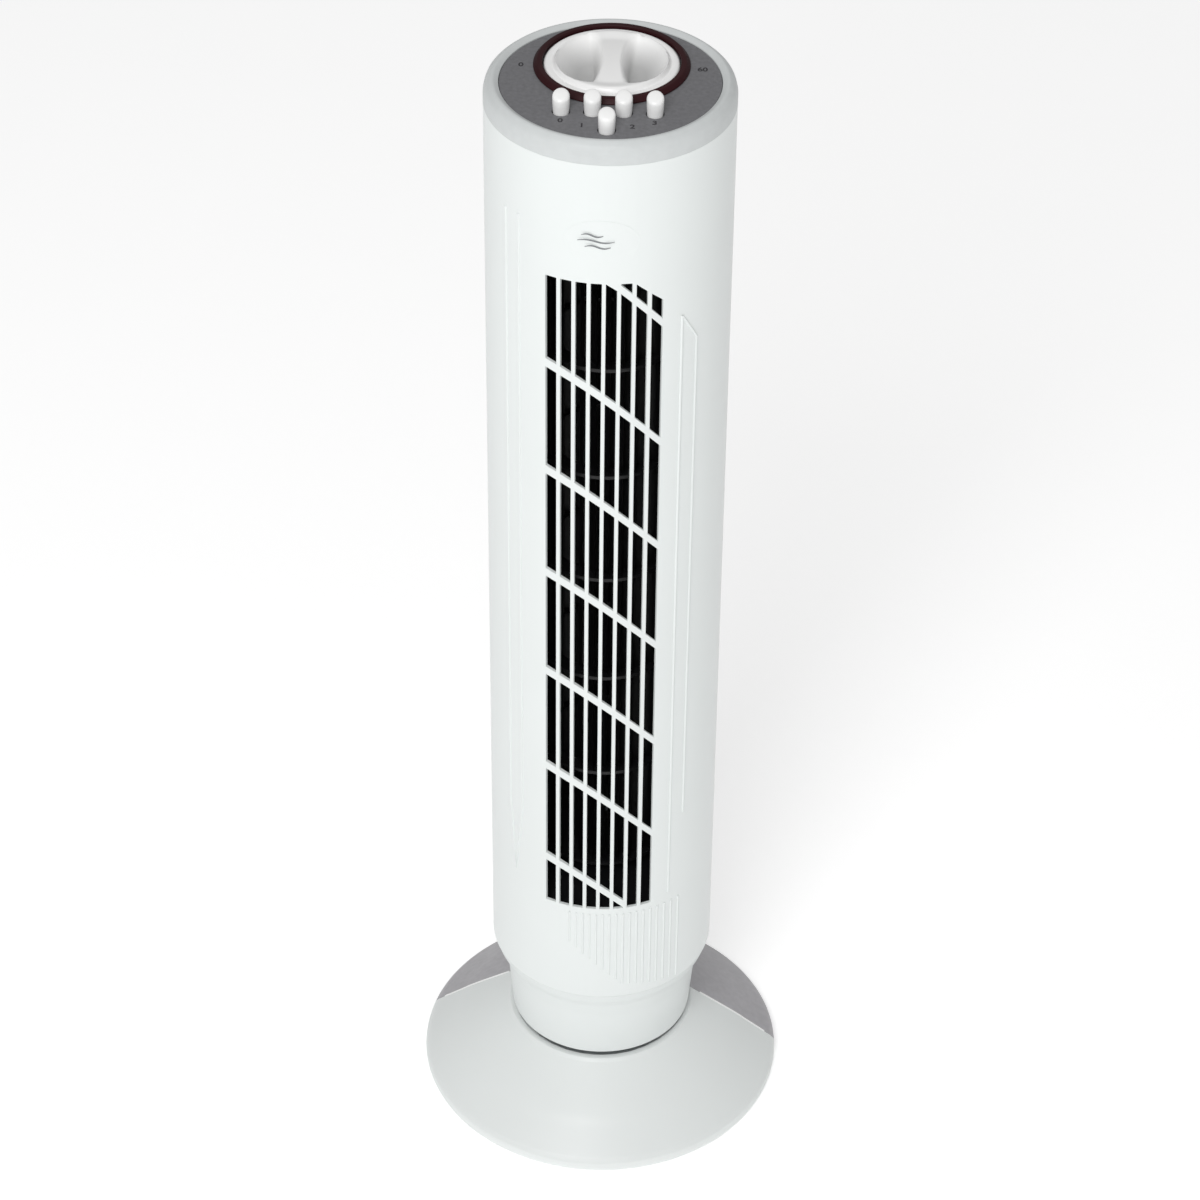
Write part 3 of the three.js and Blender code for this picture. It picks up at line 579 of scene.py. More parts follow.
def inFrontSlot(angle, z):
    x = columnRadius * math.sin(angle)
    if abs(x) > grilleHalf or not column["grilleBottom"] < z < grilleTopAt(x):
        return False
    place = x / column["slotPitch"] + (column["slots"] - 1) / 2
    if abs(place - round(place)) * column["slotPitch"] > column["slotWidth"] / 2:
        return False
    return all(abs(z - braceAt(k, x)) > column["braceHeight"] / 2 for k in range(column["braces"]))


frontShell = walled("front_housing", wallGrid(frontAngles, frontLevels, inFrontSlot, -1))
softenOpenings(frontShell, shellBottom, shellTop)
finishPiece(frontShell, bodyWhite, "column", ["front_shell"])

intakeHalf = math.asin(column["intakeWidth"] / 2 / columnRadius)
intakeAngles = []
for i in range(column["intakeColumns"]):
    middle = math.radians((i - (column["intakeColumns"] - 1) / 2) * column["intakePitch"])
    intakeAngles += [middle - intakeHalf, middle + intakeHalf]
handleAngle = math.asin(column["handleHalfWidth"] / columnRadius)
rearAngles = sorted(
    spread(-edgeAngle, intakeAngles[0], fineStep)[:-1] + intakeAngles + [-handleAngle, handleAngle]
    + spread(intakeAngles[-1], edgeAngle, fineStep)[1:]
)
intakeCell = (
    column["intakeTop"] - column["intakeBottom"] - (column["intakeRows"] - 1) * column["intakeBridge"]
) / column["intakeRows"]
rearRows = [shellBottom]
for k in range(column["intakeRows"]):
    low = column["intakeBottom"] + k * (intakeCell + column["intakeBridge"])
    rearRows += [low, low + intakeCell]
intakeRows = list(zip(rearRows[1::2], rearRows[2::2]))
rearRows.append(rearHigh[2])
topRows = [rearTopLow[2], column["handleBottom"], column["handleTop"], shellTop]


def inRearOpening(angle, z):
    if column["handleBottom"] < z < column["handleTop"]:
        return abs(angle) < handleAngle
    if not any(low < z < high for low, high in intakeRows):
        return False
    return any(low < angle < high for low, high in zip(intakeAngles[::2], intakeAngles[1::2]))


rearShell = walled("rear_housing", wallGrid(rearAngles, lambda angle: rearRows, inRearOpening, 1))
rearTop = walled("rear_upper_housing", wallGrid(rearAngles, lambda angle: topRows, inRearOpening, 1))
outside = columnRadius + 8  # cutters reach this far out
for z in column["screwHeights"]:
    for side in (-1, 1):
        hole = drum(column["screwHead"], 5, outside, (side * column["screwX"], z), 32, along="y")
        carve(rearTop if z > rearTopLow[2] else rearShell, hole)
softenOpenings(rearShell, shellBottom, rearHigh[2])
softenOpenings(rearTop, rearTopLow[2], shellTop)
finishPiece(rearShell, bodyWhite, "column", ["rear_shell"])
finishPiece(rearTop, bodyWhite, "column", ["rear_top"])

for level, z in enumerate(column["screwHeights"]):
    for side in (-1, 1):
        spot = (side * column["screwX"], z)
        tube = asObject(
            f"screw_tube_{level * 2 + (side + 3) // 2}",
            drum(column["screwTube"], 1, columnRadius, spot, 32, along="y"),
        )
        carve(tube, drum(column["screwHead"], column["headDepth"], outside, spot, 32, along="y"))
        carve(tube, drum(column["screwShank"], -2, column["headDepth"] + 4, spot, 24, along="y"))
        carve(tube, drum(columnRadius - 0.6, z - 30, z + 30, segments=180), "INTERSECT")
        finishPiece(tube, bodyWhite, "column")
print("shells made")


# raised rails and fine ribs on the front shell

rails = {
    "railWidth": 1.6, "railHeight": 0.75,
    "ribWidth": 1.5, "ribHeights": (0.7, 0.5), "ribCount": 17, "ribStart": -17.6, "ribPitch": 4.15,
    "ribTop": 182, "ribCorner": (12.6, 123), "steepFall": 1.25, "gentleFall": 0.25,
    "left": [[(-52, 677), (-52, 252), (-47.5, 199.5), (-43, 252), (-43, 677)]],
    "right": [[(38, 190), (38, 617), (47, 599), (46.6, 250)]],
}


def bead(points, normals, width, height):
    # a half-round bead along surface points, standing up along the normals, its foot sunk in the wall
    sides, sunk = 6, 0.3
    bm = bmesh.new()
    rings = []
    for index, (point, normal) in enumerate(zip(points, normals)):
        along = points[min(index + 1, len(points) - 1)] - points[max(index - 1, 0)]
        across = along.cross(normal).normalized() * width / 2
        ring = []
        for step in range(sides + 1):
            turn = math.pi * step / sides
            out = -sunk if step in (0, sides) else math.sin(turn) * height
            ring.append(bm.verts.new(point + across * math.cos(turn) + normal * out))
        edges = [bm.edges.new((p, q)) for p, q in zip(ring, ring[1:])]
        edges.append(bm.edges.new((ring[-1], ring[0])))
        rings.append(edges)
    for lower, upper in zip(rings, rings[1:]):
        bmesh.ops.bridge_loops(bm, edges=lower + upper)
    bmesh.ops.contextual_create(bm, geom=rings[0])
    bmesh.ops.contextual_create(bm, geom=rings[-1])
    bmesh.ops.recalc_face_normals(bm, faces=bm.faces)
    return bm


def columnBead(path, width, height):
    # the path is (degrees from the front, z) on the column's wall
    points, normals = [], []
    for (a0, z0), (a1, z1) in zip(path, path[1:]):
        count = max(1, round(abs(a1 - a0) / 2))
        steps = range(count + 1) if (a1, z1) == path[-1] else range(count)
        for i in steps:
            angle = math.radians(a0 + (a1 - a0) * i / count)
            normals.append(Vector((math.sin(angle), -math.cos(angle), 0)))
            points.append(normals[-1] * columnRadius + Vector((0, 0, z0 + (z1 - z0) * i / count)))
    return bead(points, normals, width, height)


for index, path in enumerate(rails["left"] + rails["right"]):
    rail = asObject(f"rail_{index + 1}", columnBead(path, rails["railWidth"], rails["railHeight"]))
    finishPiece(rail, bodyWhite, "column", sharp=60)
cornerAngle, cornerHeight = rails["ribCorner"]
for index in range(rails["ribCount"]):
    angle = math.degrees(math.asin((rails["ribStart"] + index * rails["ribPitch"]) / columnRadius))
    fall = rails["steepFall"] if angle < cornerAngle else rails["gentleFall"]
    bottom = cornerHeight - fall * (angle - cornerAngle)
    path = [(angle, bottom), (angle, rails["ribTop"])]
    height = rails["ribHeights"][index % 2]
    rib = asObject(f"fine_rib_{index + 1}", columnBead(path, rails["ribWidth"], height))
    finishPiece(rib, bodyWhite, "column", sharp=60)
print("rails and ribs made")


# badge pad with three plain air lines

badge = {
    "x": -1.5, "z": 672, "halfWidth": 21, "halfHeight": 13.5, "rise": 0.75, "steps": 64, "ringWidth": 2.2,
    "edgeFrom": 0.9, "lift": 0.12, "skirt": 0.5,
}


def wrapOnColumn(bm, lift):
    # x and z stay, y is the height above the column's wall
    for vert in bm.verts:
        reach = columnRadius + lift + vert.co.y
        angle = vert.co.x / columnRadius
        vert.co = (reach * math.sin(angle), -reach * math.cos(angle), vert.co.z)


bm = bmesh.new()
bmesh.ops.create_circle(bm, cap_ends=True, segments=badge["steps"], radius=1)
bmesh.ops.rotate(bm, cent=(0, 0, 0), matrix=Matrix.Rotation(math.radians(90), 3, "X"), verts=bm.verts)
bmesh.ops.scale(bm, vec=(badge["halfWidth"], 1, badge["halfHeight"]), verts=bm.verts)
for _ in range(5):
    ringFaces = [f for f in bm.faces if len(f.verts) == badge["steps"]]
    bmesh.ops.inset_region(bm, faces=ringFaces, thickness=badge["ringWidth"], use_even_offset=True)
padFace = [f for f in bm.faces if len(f.verts) == badge["steps"]]
bmesh.ops.poke(bm, faces=padFace)
for vert in bm.verts:
    off = math.hypot(vert.co.x / badge["halfWidth"], vert.co.z / badge["halfHeight"])
    vert.co.y = badge["rise"] * (1 - smoothStep(badge["edgeFrom"], 1, off)) + badge["lift"]
bmesh.ops.translate(bm, vec=(badge["x"], 0, badge["z"]), verts=bm.verts)
edgeLoop = [e for e in bm.edges if e.is_boundary]
skirt = bmesh.ops.extrude_edge_only(bm, edges=edgeLoop)["geom"]
skirtVerts = [g for g in skirt if isinstance(g, bmesh.types.BMVert)]
bmesh.ops.translate(bm, vec=(0, -badge["skirt"], 0), verts=skirtVerts)
wrapOnColumn(bm, 0)
bmesh.ops.recalc_face_normals(bm, faces=bm.faces)
badgePad = asObject("badge_pad", bm)
finishPiece(badgePad, bodyWhite, "column", ["badge"], sharp=60)

airLines = {
    "rows": [(-11, 4.6, 12), (-13, 1.0, 20), (-9, -2.6, 14)], "width": 1.0, "wave": 0.84, "lift": 0.05,
}
for index, (start, height, length) in enumerate(airLines["rows"]):
    bm = bmesh.new()
    bmesh.ops.create_grid(bm, x_segments=16, y_segments=1, size=0.5)
    for vert in bm.verts:
        t = vert.co.x + 0.5
        taper = math.sin(math.pi * min(max(t, 0.04), 0.96)) ** 0.5
        z = height + vert.co.y * airLines["width"] * taper + airLines["wave"] * math.sin(t * math.tau)
        vert.co = (badge["x"] + start + t * length, 0, badge["z"] + z)
    wrapOnColumn(bm, badge["rise"] + badge["lift"] + airLines["lift"])
    bmesh.ops.recalc_face_normals(bm, faces=bm.faces)
    line = asObject(f"air_line_{index + 1}", bm)
    ink = line.modifiers.new("ink", "SOLIDIFY")
    ink.thickness = 0.00005
    finishPiece(line, printGrey, "column")
print("badge made")


# top rim, neck and base halves, turned from outlines

rim = {"width": 8.5, "crest": rimHigh[2]}
rimIn = columnRadius - rim["width"]
topRim = spun([
    (columnRadius, rimLow[2] + 8.1, 0),
    (columnRadius, rim["crest"] - 7.5, 8),
    (columnRadius - 1.1, rim["crest"] - 3.2, 4),
    (columnRadius - 4.9, rim["crest"], 2.2),
    (rimIn, panelHigh[2] + 0.4, 0.6),
    (rimIn, panelLow[2] - 0.3, 0),
    (rimIn - 3, panelLow[2] - 0.3, 0),
    (rimIn - 3, panelLow[2] - 2.5, 0),
    (columnRadius - 5.5, panelLow[2] - 2.5, 0),
    (columnRadius - 4.5, rimLow[2] + 8, 0),
    (columnRadius - 4.5, rimLow[2], 0),
    (columnRadius - 2.5, rimLow[2], 0),
    (columnRadius - 2.5, rimLow[2] + 8.1, 0),
], steps=180)
finishPiece(asObject("rim", topRim), rimGreyWithShade, "column", ["top_rim"])

neck = {
    "bottom": neckLow[2], "bottomRadius": 57, "top": 90, "topRadius": columnRadius - 8.8, "wall": 2.5,
    "shoulder": shellBottom - 0.12, "floor": 66, "floorTop": 69, "postHole": 7.9,
    "crankHole": 5, "crankY": 24,
}
neckSlope = (neck["topRadius"] - neck["bottomRadius"]) / (neck["top"] - neck["bottom"])
floorRadius = neck["bottomRadius"] - neck["wall"] + neckSlope * (neck["floor"] - neck["bottom"])
neckRim = spun([
    (neck["bottomRadius"] - neck["wall"], neck["bottom"], 0.5),
    (neck["bottomRadius"], neck["bottom"], 0.9),
    (neck["topRadius"] - 0.4, neck["top"] - 4, 30),
    (neck["topRadius"] + 2.4, neck["top"] + 8, 9),
    (columnRadius - 2.6, neck["shoulder"] - 7.5, 9),
    (columnRadius, neck["shoulder"], 0),
    (columnRadius - 2.5, neck["shoulder"], 0),
    (columnRadius - 2.5, neckHigh[2], 0),
    (columnRadius - 4.5, neckHigh[2], 0),
    (columnRadius - 4.5, neck["shoulder"] - 4, 0),
    (neck["topRadius"] - neck["wall"], neck["top"], 0),
    (floorRadius + 0.3, neck["floorTop"], 0),
    (neck["postHole"], neck["floorTop"], 0),
    (neck["postHole"], neck["floor"], 0),
    (floorRadius, neck["floor"], 0),
], steps=180)
neckPiece = asObject("neck", neckRim)
crankHole = drum(neck["crankHole"], neck["floor"] - 2, neck["floorTop"] + 2, (0, neck["crankY"]), 32)
carve(neckPiece, crankHole)
finishPiece(neckPiece, bodyWhite, "column", ["neck_housing"])

base = {
    "radius": baseHigh[0] - 0.25, "bottom": 2, "lipRadius": 61, "lipTop": 47.5, "seatRadius": 55.5,
    "seatTop": 45, "seatInner": 38, "wall": 2.5, "shoulder": 11.4, "shoulderIn": 3, "lipDrop": 1.7,
    "bulge": 0.8, "slopeSteps": 25, "slopeNormal": (0.56, 0.83),
    "seamTurn": -6, "seamBack": 16, "gap": 0.15, "seamBead": (1.3, 0.5), "notchWidth": 9, "notchTop": 10.3,
    "notchDepth": 19, "stepRise": 0.35, "stepFrom": 0.34, "stepCrest": 0.38, "stepEnd": 0.8,
    "postRadius": 8, "postTop": 40,
}


def baseSlope(inset, steps):
    # a faint round step lies across the slope
    outward, upward = base["slopeNormal"]
    points = []
    for i in range(1, steps):
        t = i / steps
        r = (base["radius"] - base["shoulderIn"]) * (1 - t) + base["lipRadius"] * t - outward * inset
        z = base["shoulder"] * (1 - t) + (base["lipTop"] - base["lipDrop"]) * t
        z += base["bulge"] * math.sin(math.pi * t)
        if inset == 0:
            rising = smoothStep(base["stepFrom"], base["stepCrest"], t)
            z += base["stepRise"] * rising * (1 - smoothStep(base["stepCrest"], base["stepEnd"], t))
        points.append((r, z - upward * inset, 0))
    return points


def baseShell():
    return spun([
        (base["radius"] - 1.2, base["bottom"], 0.4),
        (base["radius"], 5, 2),
        (base["radius"] - 0.5, 8.8, 2.4),
        (base["radius"] - base["shoulderIn"], base["shoulder"], 1.5),
        *baseSlope(0, base["slopeSteps"]),
        (base["lipRadius"], base["lipTop"] - base["lipDrop"], 1),
        (base["lipRadius"] - 2, base["lipTop"], 0.9),
        (base["seatRadius"], base["lipTop"], 0.5),
        (base["seatRadius"], base["seatTop"], 0),
        (base["seatInner"], base["seatTop"], 0),
        (base["seatInner"], base["seatTop"] - base["wall"], 0),
        (base["lipRadius"] - 2, base["seatTop"] - base["wall"], 0),
        *reversed(baseSlope(base["wall"], 7)),
        (base["radius"] - 5.4, 9, 0),
        (base["radius"] - 3.4, base["bottom"], 0.4),
    ], steps=180)


def halved(bm, offset, keepFront):
    turn = math.radians(base["seamTurn"])
    normal = Vector((-math.sin(turn), math.cos(turn), 0))
    bmesh.ops.bisect_plane(
        bm, geom=bm.verts[:] + bm.edges[:] + bm.faces[:], dist=1e-4, plane_co=normal * offset,
        plane_no=normal, clear_outer=keepFront, clear_inner=not keepFront,
    )
    cutEdges = [e for e in bm.edges if e.is_boundary]
    bmesh.ops.edgenet_fill(bm, edges=cutEdges)
    bmesh.ops.recalc_face_normals(bm, faces=bm.faces)
    return bm


footPosts = [span(f"foot_pad_{i}") for i in range(1, 5)]
halves = (("base_front_half", "base_front", base["seamBack"] - base["gap"], True),
          ("base_rear_half", "base_rear", base["seamBack"] + base["gap"], False))
for name, nodeName, offset, isFront in halves:
    half = asObject(name, halved(baseShell(), offset, isFront))
    for low, high in footPosts:
        middle = ((low[0] + high[0]) / 2, (low[1] + high[1]) / 2)
        if (middle[1] < 0) == isFront:
            post = drum(base["postRadius"], high[2] + 0.3, base["postTop"], middle, 40)
            domeFill = spun([
                (0, 4, 0), (base["radius"] - 2, 4, 0), (base["radius"] - 4.5, base["shoulder"] - 1, 0),
                (base["lipRadius"], base["lipTop"] - 3.4, 0), (0, base["lipTop"] - 3.4, 0),
            ], steps=90)
            carve(half, intersection(post, domeFill), "UNION")
    if not isFront:
        edge, halfNotch = base["radius"], base["notchWidth"] / 2
        carve(half, block(
            (-halfNotch, edge - base["notchDepth"], -1), (halfNotch, edge + 5, base["notchTop"]),
        ))
    # the rear half takes the painted-shade copy of the base plastic
    finishPiece(half, baseWhite if isFront else baseRearPaintedShade, "base", [nodeName])

# a light bead follows the joint line on each side; its whiter plastic is partly a painted highlight along the
# joint
turn = math.radians(base["seamTurn"])
slope = sorted((r, z) for r, z, _ in baseSlope(0, base["slopeSteps"]))
for side in (-1, 1):
    points, normals = [], []
    for (r, z), (farther, lower) in zip(slope[1:], slope[2:]):
        x = side * math.sqrt(r * r - base["seamBack"] ** 2)
        spot = Matrix.Rotation(turn, 3, "Z") @ Vector((x, base["seamBack"], z))
        outward = Vector((spot.x, spot.y, 0)).normalized() * (z - lower)
        points.append(spot)
        normals.append((outward + Vector((0, 0, farther - r))).normalized())
    line = bead(points, normals, *base["seamBead"])
    name = "joint_bead_left" if side < 0 else "joint_bead_right"
    finishPiece(asObject(name, line), controlWhite, "base", sharp=60)
print("rim, neck and base made")


# control panel, dial ring and printed marks

panel = {"radius": rimIn - 0.3, "knobHole": 37.9, "knobY": 17.3}
ring = {"inner": 37.9, "outer": 43.0, "bottom": 731.3, "top": 734.2}
buttons = {
    "names": ["speed_button_0", "speed_button_1", "speed_button_2", "speed_button_3", "swing_button"],
    "radius": 4.7, "footRadius": 4.2, "slant": 21.5, "room": 0.35, "stem": 2.6, "flange": 6.3,
}
buttonSpots = []
for name in buttons["names"]:
    low, high = span(name)
    buttonSpots.append(((low[0] + high[0]) / 2, (low[1] + high[1]) / 2))

panelDisc = asObject("panel", drum(panel["radius"], panelLow[2], panelHigh[2], segments=180))
through = (panelLow[2] - 5, panelHigh[2] + 5)
carve(panelDisc, drum(panel["knobHole"], *through, (0, panel["knobY"]), 128))
for spot in buttonSpots:
    carve(panelDisc, drum(buttons["radius"] + buttons["room"], *through, spot, 48))
finishPiece(panelDisc, panelGrey, "column", ["control_panel"], bevel=0.3)

ringBand = spun([
    (ring["inner"], ring["bottom"], 0.2),
    (ring["outer"], ring["bottom"], 0.2),
    (ring["outer"] - 0.1, ring["bottom"] + 0.6, 0.4),
    (ring["outer"] - 2.2, ring["top"], 1.0),
    (ring["inner"], ring["top"], 0.6),
], steps=144, centre=(0, panel["knobY"]))
finishPiece(asObject("ring_bezel", ringBand), ringRed, "column", ["dial_ring"])

marks = {
    "size": 5.6, "lift": 0.06,
    "digits": [("0", -25.2, -42.5), ("1", -13.5, -47), ("2", 13.5, -47), ("3", 25.2, -42.5)],
    "dial": [("0", -49.5, 15), ("60", 49.5, 15)],
}


def printMark(name, text, x, y, size):
    letters = bpy.data.curves.new(name, "FONT")
    letters.body = text
    letters.size = size
    letters.offset = size * 0.03
    letters.align_x = "CENTER"
    letters.align_y = "CENTER"
    holder = bpy.data.objects.new(name, letters)
    scene.collection.objects.link(holder)
    graph = bpy.context.evaluated_depsgraph_get()
    mesh = bpy.data.meshes.new_from_object(holder.evaluated_get(graph))
    bpy.data.objects.remove(holder)
    bpy.data.curves.remove(letters)
    bm = bmesh.new()
    bm.from_mesh(mesh)
    bpy.data.meshes.remove(mesh)
    bmesh.ops.remove_doubles(bm, verts=bm.verts, dist=0.001)
    bmesh.ops.translate(bm, vec=(x, y, panelHigh[2] + marks["lift"]), verts=bm.verts)
    mark = asObject(name, bm)
    ink = mark.modifiers.new("ink", "SOLIDIFY")
    ink.thickness = 0.00004
    finishPiece(mark, printDark, "column")


for text, x, y in marks["digits"]:
    printMark(f"speed_mark_{text}", text, x, y, marks["size"])
for text, x, y in marks["dial"]:
    printMark(f"dial_mark_{text}", text, x, y, marks["size"])
print("panel made")


# push buttons

slantRise = math.tan(math.radians(buttons["slant"]))
for name, spot in zip(buttons["names"], buttonSpots):
    low, high = span(name)
    crown = high[2] - buttons["radius"] * slantRise
    peg = spun([
        (0, low[2], 0),
        (buttons["stem"], low[2], 0.3),
        (buttons["stem"], panelLow[2] - 3.6, 0),
        (buttons["flange"], panelLow[2] - 3.6, 0.3),
        (buttons["flange"], panelLow[2] - 0.3, 0.3),
        (buttons["footRadius"], panelLow[2] - 0.3, 0),
        (buttons["footRadius"] + 0.2, panelHigh[2] + 0.5, 2),
        (buttons["radius"], panelHigh[2] + 6, 4),
        (buttons["radius"], crown, 1.9),
        (0, crown + 0.5, 0),
    ], steps=48, closed=False)
    for vert in peg.verts:
        weight = smoothStep(panelHigh[2] + 1.5, crown - 1.5, vert.co.z)
        vert.co.z += vert.co.y * slantRise * weight
    bmesh.ops.translate(peg, vec=(spot[0], spot[1], 0), verts=peg.verts)
    body = {"swing_button": "button_swing"}.get(name, "button_" + name[-1])
    finishPiece(asObject(name + "_cap", peg), controlWhite, body, [name], sharp=50)
print("buttons made")


# timer knob: a polar grid pressed into shape

knob = {
    "radius": knobHigh[0], "y": panel["knobY"], "flangeTop": 732.8, "top": knobHigh[2], "dish": 31.8,
    "scoopDepth": 13, "scoopX": 12.5, "scoopY": 1.5, "scoopHalfWidth": 18, "scoopHalfLength": 26,
    "gripHalf": 4.4, "gripFlare": 4.5, "gripArch": 2.2, "archEnd": (22, 30), "wall": 6,
    "edgeDrop": 0.9, "edgeWidth": 1.4, "dishEdge": (0.9, 0.4), "grooveDepth": 0.5, "grooveWidth": 0.5,
    "rings": 52, "steps": 160,
}


def knobHeight(x, y):
    r = math.hypot(x, y)
    rimFall = smoothStep(knob["radius"] - knob["edgeWidth"], knob["radius"], r) ** 2
    z = knob["flangeTop"] - knob["edgeDrop"] * rimFall
    inner, outer = knob["dishEdge"]
    dishFall = smoothStep(knob["dish"] - inner, knob["dish"] + outer, r)
    z += (knob["top"] - knob["flangeTop"]) * (1 - dishFall)
    fromGroove = (r - knob["dish"] - 1) / knob["grooveWidth"]
    z -= knob["grooveDepth"] * math.exp(-fromGroove ** 2)
    if r < knob["dish"] - 1:
        z -= knob["gripArch"] * (y / knob["dish"]) ** 2 * (1 - smoothStep(*knob["archEnd"], r))
        reach = ((abs(x) - knob["scoopX"]) / knob["scoopHalfWidth"]) ** 2
        reach += ((y - knob["scoopY"]) / knob["scoopHalfLength"]) ** 2
        half = knob["gripHalf"] + knob["gripFlare"] * (y / knob["dish"]) ** 2
        wall = smoothStep(0, knob["wall"], abs(x) - half)
        z -= knob["scoopDepth"] * max(0.0, 1 - reach) ** 0.9 * wall
    return z


bm = bmesh.new()
radii = [knob["radius"] * (i / knob["rings"]) for i in range(1, knob["rings"] + 1)]
line = [bm.verts.new((r, 0, 0)) for r in radii]
edges = [bm.edges.new((a, b)) for a, b in zip(line, line[1:])]
bmesh.ops.spin(
    bm, geom=line + edges, cent=(0, 0, 0), axis=(0, 0, 1), dvec=(0, 0, 0), angle=math.tau,
    steps=knob["steps"], use_merge=True, use_duplicate=False,
)
bmesh.ops.remove_doubles(bm, verts=bm.verts, dist=1e-4)
innerLoop = [e for e in bm.edges if e.is_boundary and e.verts[0].co.length < radii[0] * 1.5]
cap = bmesh.ops.contextual_create(bm, geom=innerLoop)["faces"]
bmesh.ops.poke(bm, faces=cap)
for vert in bm.verts:
    vert.co.z = knobHeight(vert.co.x, vert.co.y)
outer = [e for e in bm.edges if e.is_boundary]
for drop in (0.5, 5, 5):
    made = bmesh.ops.extrude_edge_only(bm, edges=outer)["geom"]
    outer = [g for g in made if isinstance(g, bmesh.types.BMEdge) and g.is_boundary]
    lowered = [g for g in made if isinstance(g, bmesh.types.BMVert)]
    bmesh.ops.translate(bm, vec=(0, 0, -drop), verts=lowered)
for vert in {v for e in outer for v in e.verts}:
    vert.co.z = knobLow[2]
bmesh.ops.contextual_create(bm, geom=outer)
bmesh.ops.translate(bm, vec=(0, knob["y"], 0), verts=bm.verts)
bmesh.ops.recalc_face_normals(bm, faces=bm.faces)
finishPiece(asObject("knob", bm), knobWhitePaintedShade, "dial", ["timer_knob"], sharp=60)
print("knob made")


# blower wheel: thin curved blades between discs

wheel = {
    "radius": (wheelHigh[0] - wheelLow[0]) / 2, "inner": 32, "y": 6, "blades": 32, "thickness": 0.8,
    "sections": 6, "disc": 2.2, "lean": 8.4, "curl": 2.2,
}
parts = []
for k in range(wheel["sections"] + 1):
    low = wheelLow[2] + (wheelHigh[2] - wheelLow[2] - wheel["disc"]) * k / wheel["sections"]
    if k in (0, wheel["sections"]):
        parts.append(drum(wheel["radius"], low, low + wheel["disc"], segments=72))
    else:
        parts.append(spun([
            (wheel["inner"], low, 0), (wheel["radius"], low, 0),
            (wheel["radius"], low + wheel["disc"], 0), (wheel["inner"], low + wheel["disc"], 0),
        ], steps=72))
discs = asObject("wheel_discs", joined(*parts))
bladeStrip = bmesh.new()
bmesh.ops.create_grid(bladeStrip, x_segments=5, y_segments=1, size=0.5)
for vert in bladeStrip.verts:
    t = vert.co.x + 0.5
    z = wheelLow[2] + 1 if vert.co.y < 0 else wheelHigh[2] - 1
    r = wheel["inner"] + 0.5 + (wheel["radius"] - wheel["inner"] - 1) * t
    turn = math.radians(wheel["lean"] * (t - 0.5)) + wheel["curl"] * math.sin(math.pi * t) / r
    vert.co = (r * math.cos(turn), r * math.sin(turn), z)
bmesh.ops.solidify(bladeStrip, geom=bladeStrip.faces[:], thickness=wheel["thickness"])
blades = []
for i in range(wheel["blades"]):
    copy = bladeStrip.copy()
    turn = Matrix.Rotation(math.tau * i / wheel["blades"], 3, "Z")
    bmesh.ops.rotate(copy, cent=(0, 0, 0), matrix=turn, verts=copy.verts)
    blades.append(copy)
bladeStrip.free()
bladeSet = asObject("wheel_blades", joined(*blades))
for piece in (discs, bladeSet):
    piece.data.transform(Matrix.Translation((0, wheel["y"] * 0.001, 0)))
    finishPiece(piece, wheelBlack, "blower", ["blower_wheel"], sharp=40)
print("blower made")


# floor, light and camera

studio = {
    "floor": (0.9, 0.9, 0.9), "floorReach": 60, "floorGlow": 0.4, "skyLow": 0.15, "skyHigh": 0.62,
    "key": {"place": (-0.45, -2.0, 2.25), "aim": (0, 0, 0.5), "size": 1.2, "power": 35.5},
}
floorMesh = bmesh.new()
bmesh.ops.create_grid(floorMesh, x_segments=1, y_segments=1, size=studio["floorReach"])
floor = asObject("floor", floorMesh, scale=1)
floorPaint = moulded("floor paint", {
    "color": studio["floor"], "drift": 0.995, "roughness": (0.8, 0.9), "grain": 0.02, "specular": 0.1,
})
floorShader = floorPaint.node_tree.nodes["Principled BSDF"]
floorShader.inputs["Emission Color"].default_value = (1, 1, 1, 1)
floorShader.inputs["Emission Strength"].default_value = studio["floorGlow"]
floor.data.materials.append(floorPaint)
floor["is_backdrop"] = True

world = bpy.data.worlds.new("studio")
scene.world = world
world.use_nodes = True
worldTree = world.node_tree
toSky = worldTree.nodes.new("ShaderNodeTexCoord")
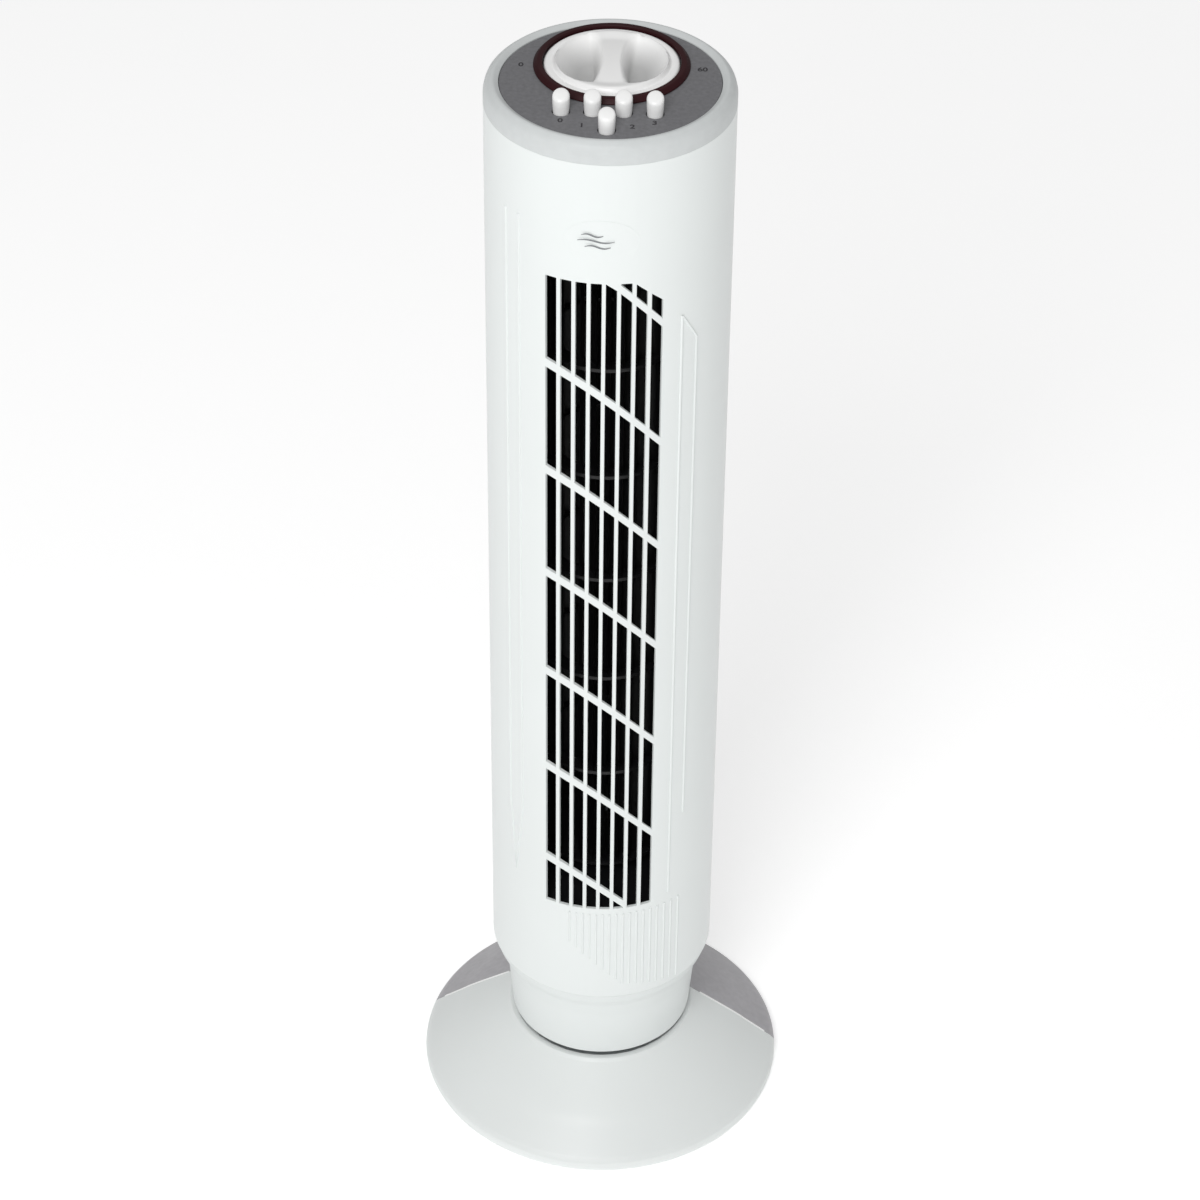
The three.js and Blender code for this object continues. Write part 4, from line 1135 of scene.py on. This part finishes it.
skyParts = worldTree.nodes.new("ShaderNodeSeparateXYZ")
skyRamp = worldTree.nodes.new("ShaderNodeMapRange")  # brighter overhead than at the horizon
skyRamp.inputs["To Min"].default_value = studio["skyLow"]
skyRamp.inputs["To Max"].default_value = studio["skyHigh"]
worldTree.links.new(toSky.outputs["Generated"], skyParts.inputs["Vector"])
worldTree.links.new(skyParts.outputs["Z"], skyRamp.inputs["Value"])
worldTree.links.new(skyRamp.outputs["Result"], worldTree.nodes["Background"].inputs["Strength"])
worldTree.nodes["Background"].inputs["Color"].default_value = (1, 1, 1, 1)


def softLight(name, look):
    light = bpy.data.lights.new(name, "AREA")
    light.shape = "DISK"
    light.size = look["size"]
    light.energy = look["power"]
    lamp = bpy.data.objects.new(name, light)
    lamp.location = look["place"]
    direction = Vector(look["aim"]) - Vector(look["place"])
    lamp.rotation_euler = direction.to_track_quat("-Z", "Y").to_euler()
    scene.collection.objects.link(lamp)


softLight("key", studio["key"])

view = {
    "azimuth": 2, "distance": 1.7843, "height": 1.7744, "aimHeight": 0.3741, "aimSide": -0.003,
    "roll": 0.0097, "lens": 113.55,
}
turn = math.radians(view["azimuth"])
sideways = Vector((math.cos(turn), math.sin(turn), 0))
eye = Vector((view["distance"] * math.sin(turn), -view["distance"] * math.cos(turn), view["height"]))
target = Vector((0, 0, view["aimHeight"])) + sideways * view["aimSide"]
forward = (target - eye).normalized()
right = forward.cross(Vector((0, 0, 1))).normalized()
up = right.cross(forward)
rolledRight = math.cos(view["roll"]) * right + math.sin(view["roll"]) * up
rolledUp = -math.sin(view["roll"]) * right + math.cos(view["roll"]) * up
lens = bpy.data.cameras.new("camera")
lens.sensor_width = 36
lens.lens = view["lens"]
camera = bpy.data.objects.new("camera", lens)
camera.matrix_world = Matrix((rolledRight, rolledUp, -forward)).transposed().to_4x4()
camera.matrix_world.translation = eye
scene.collection.objects.link(camera)
scene.camera = camera
scene.view_settings.view_transform = "Standard"
print("studio ready")

low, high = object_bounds()
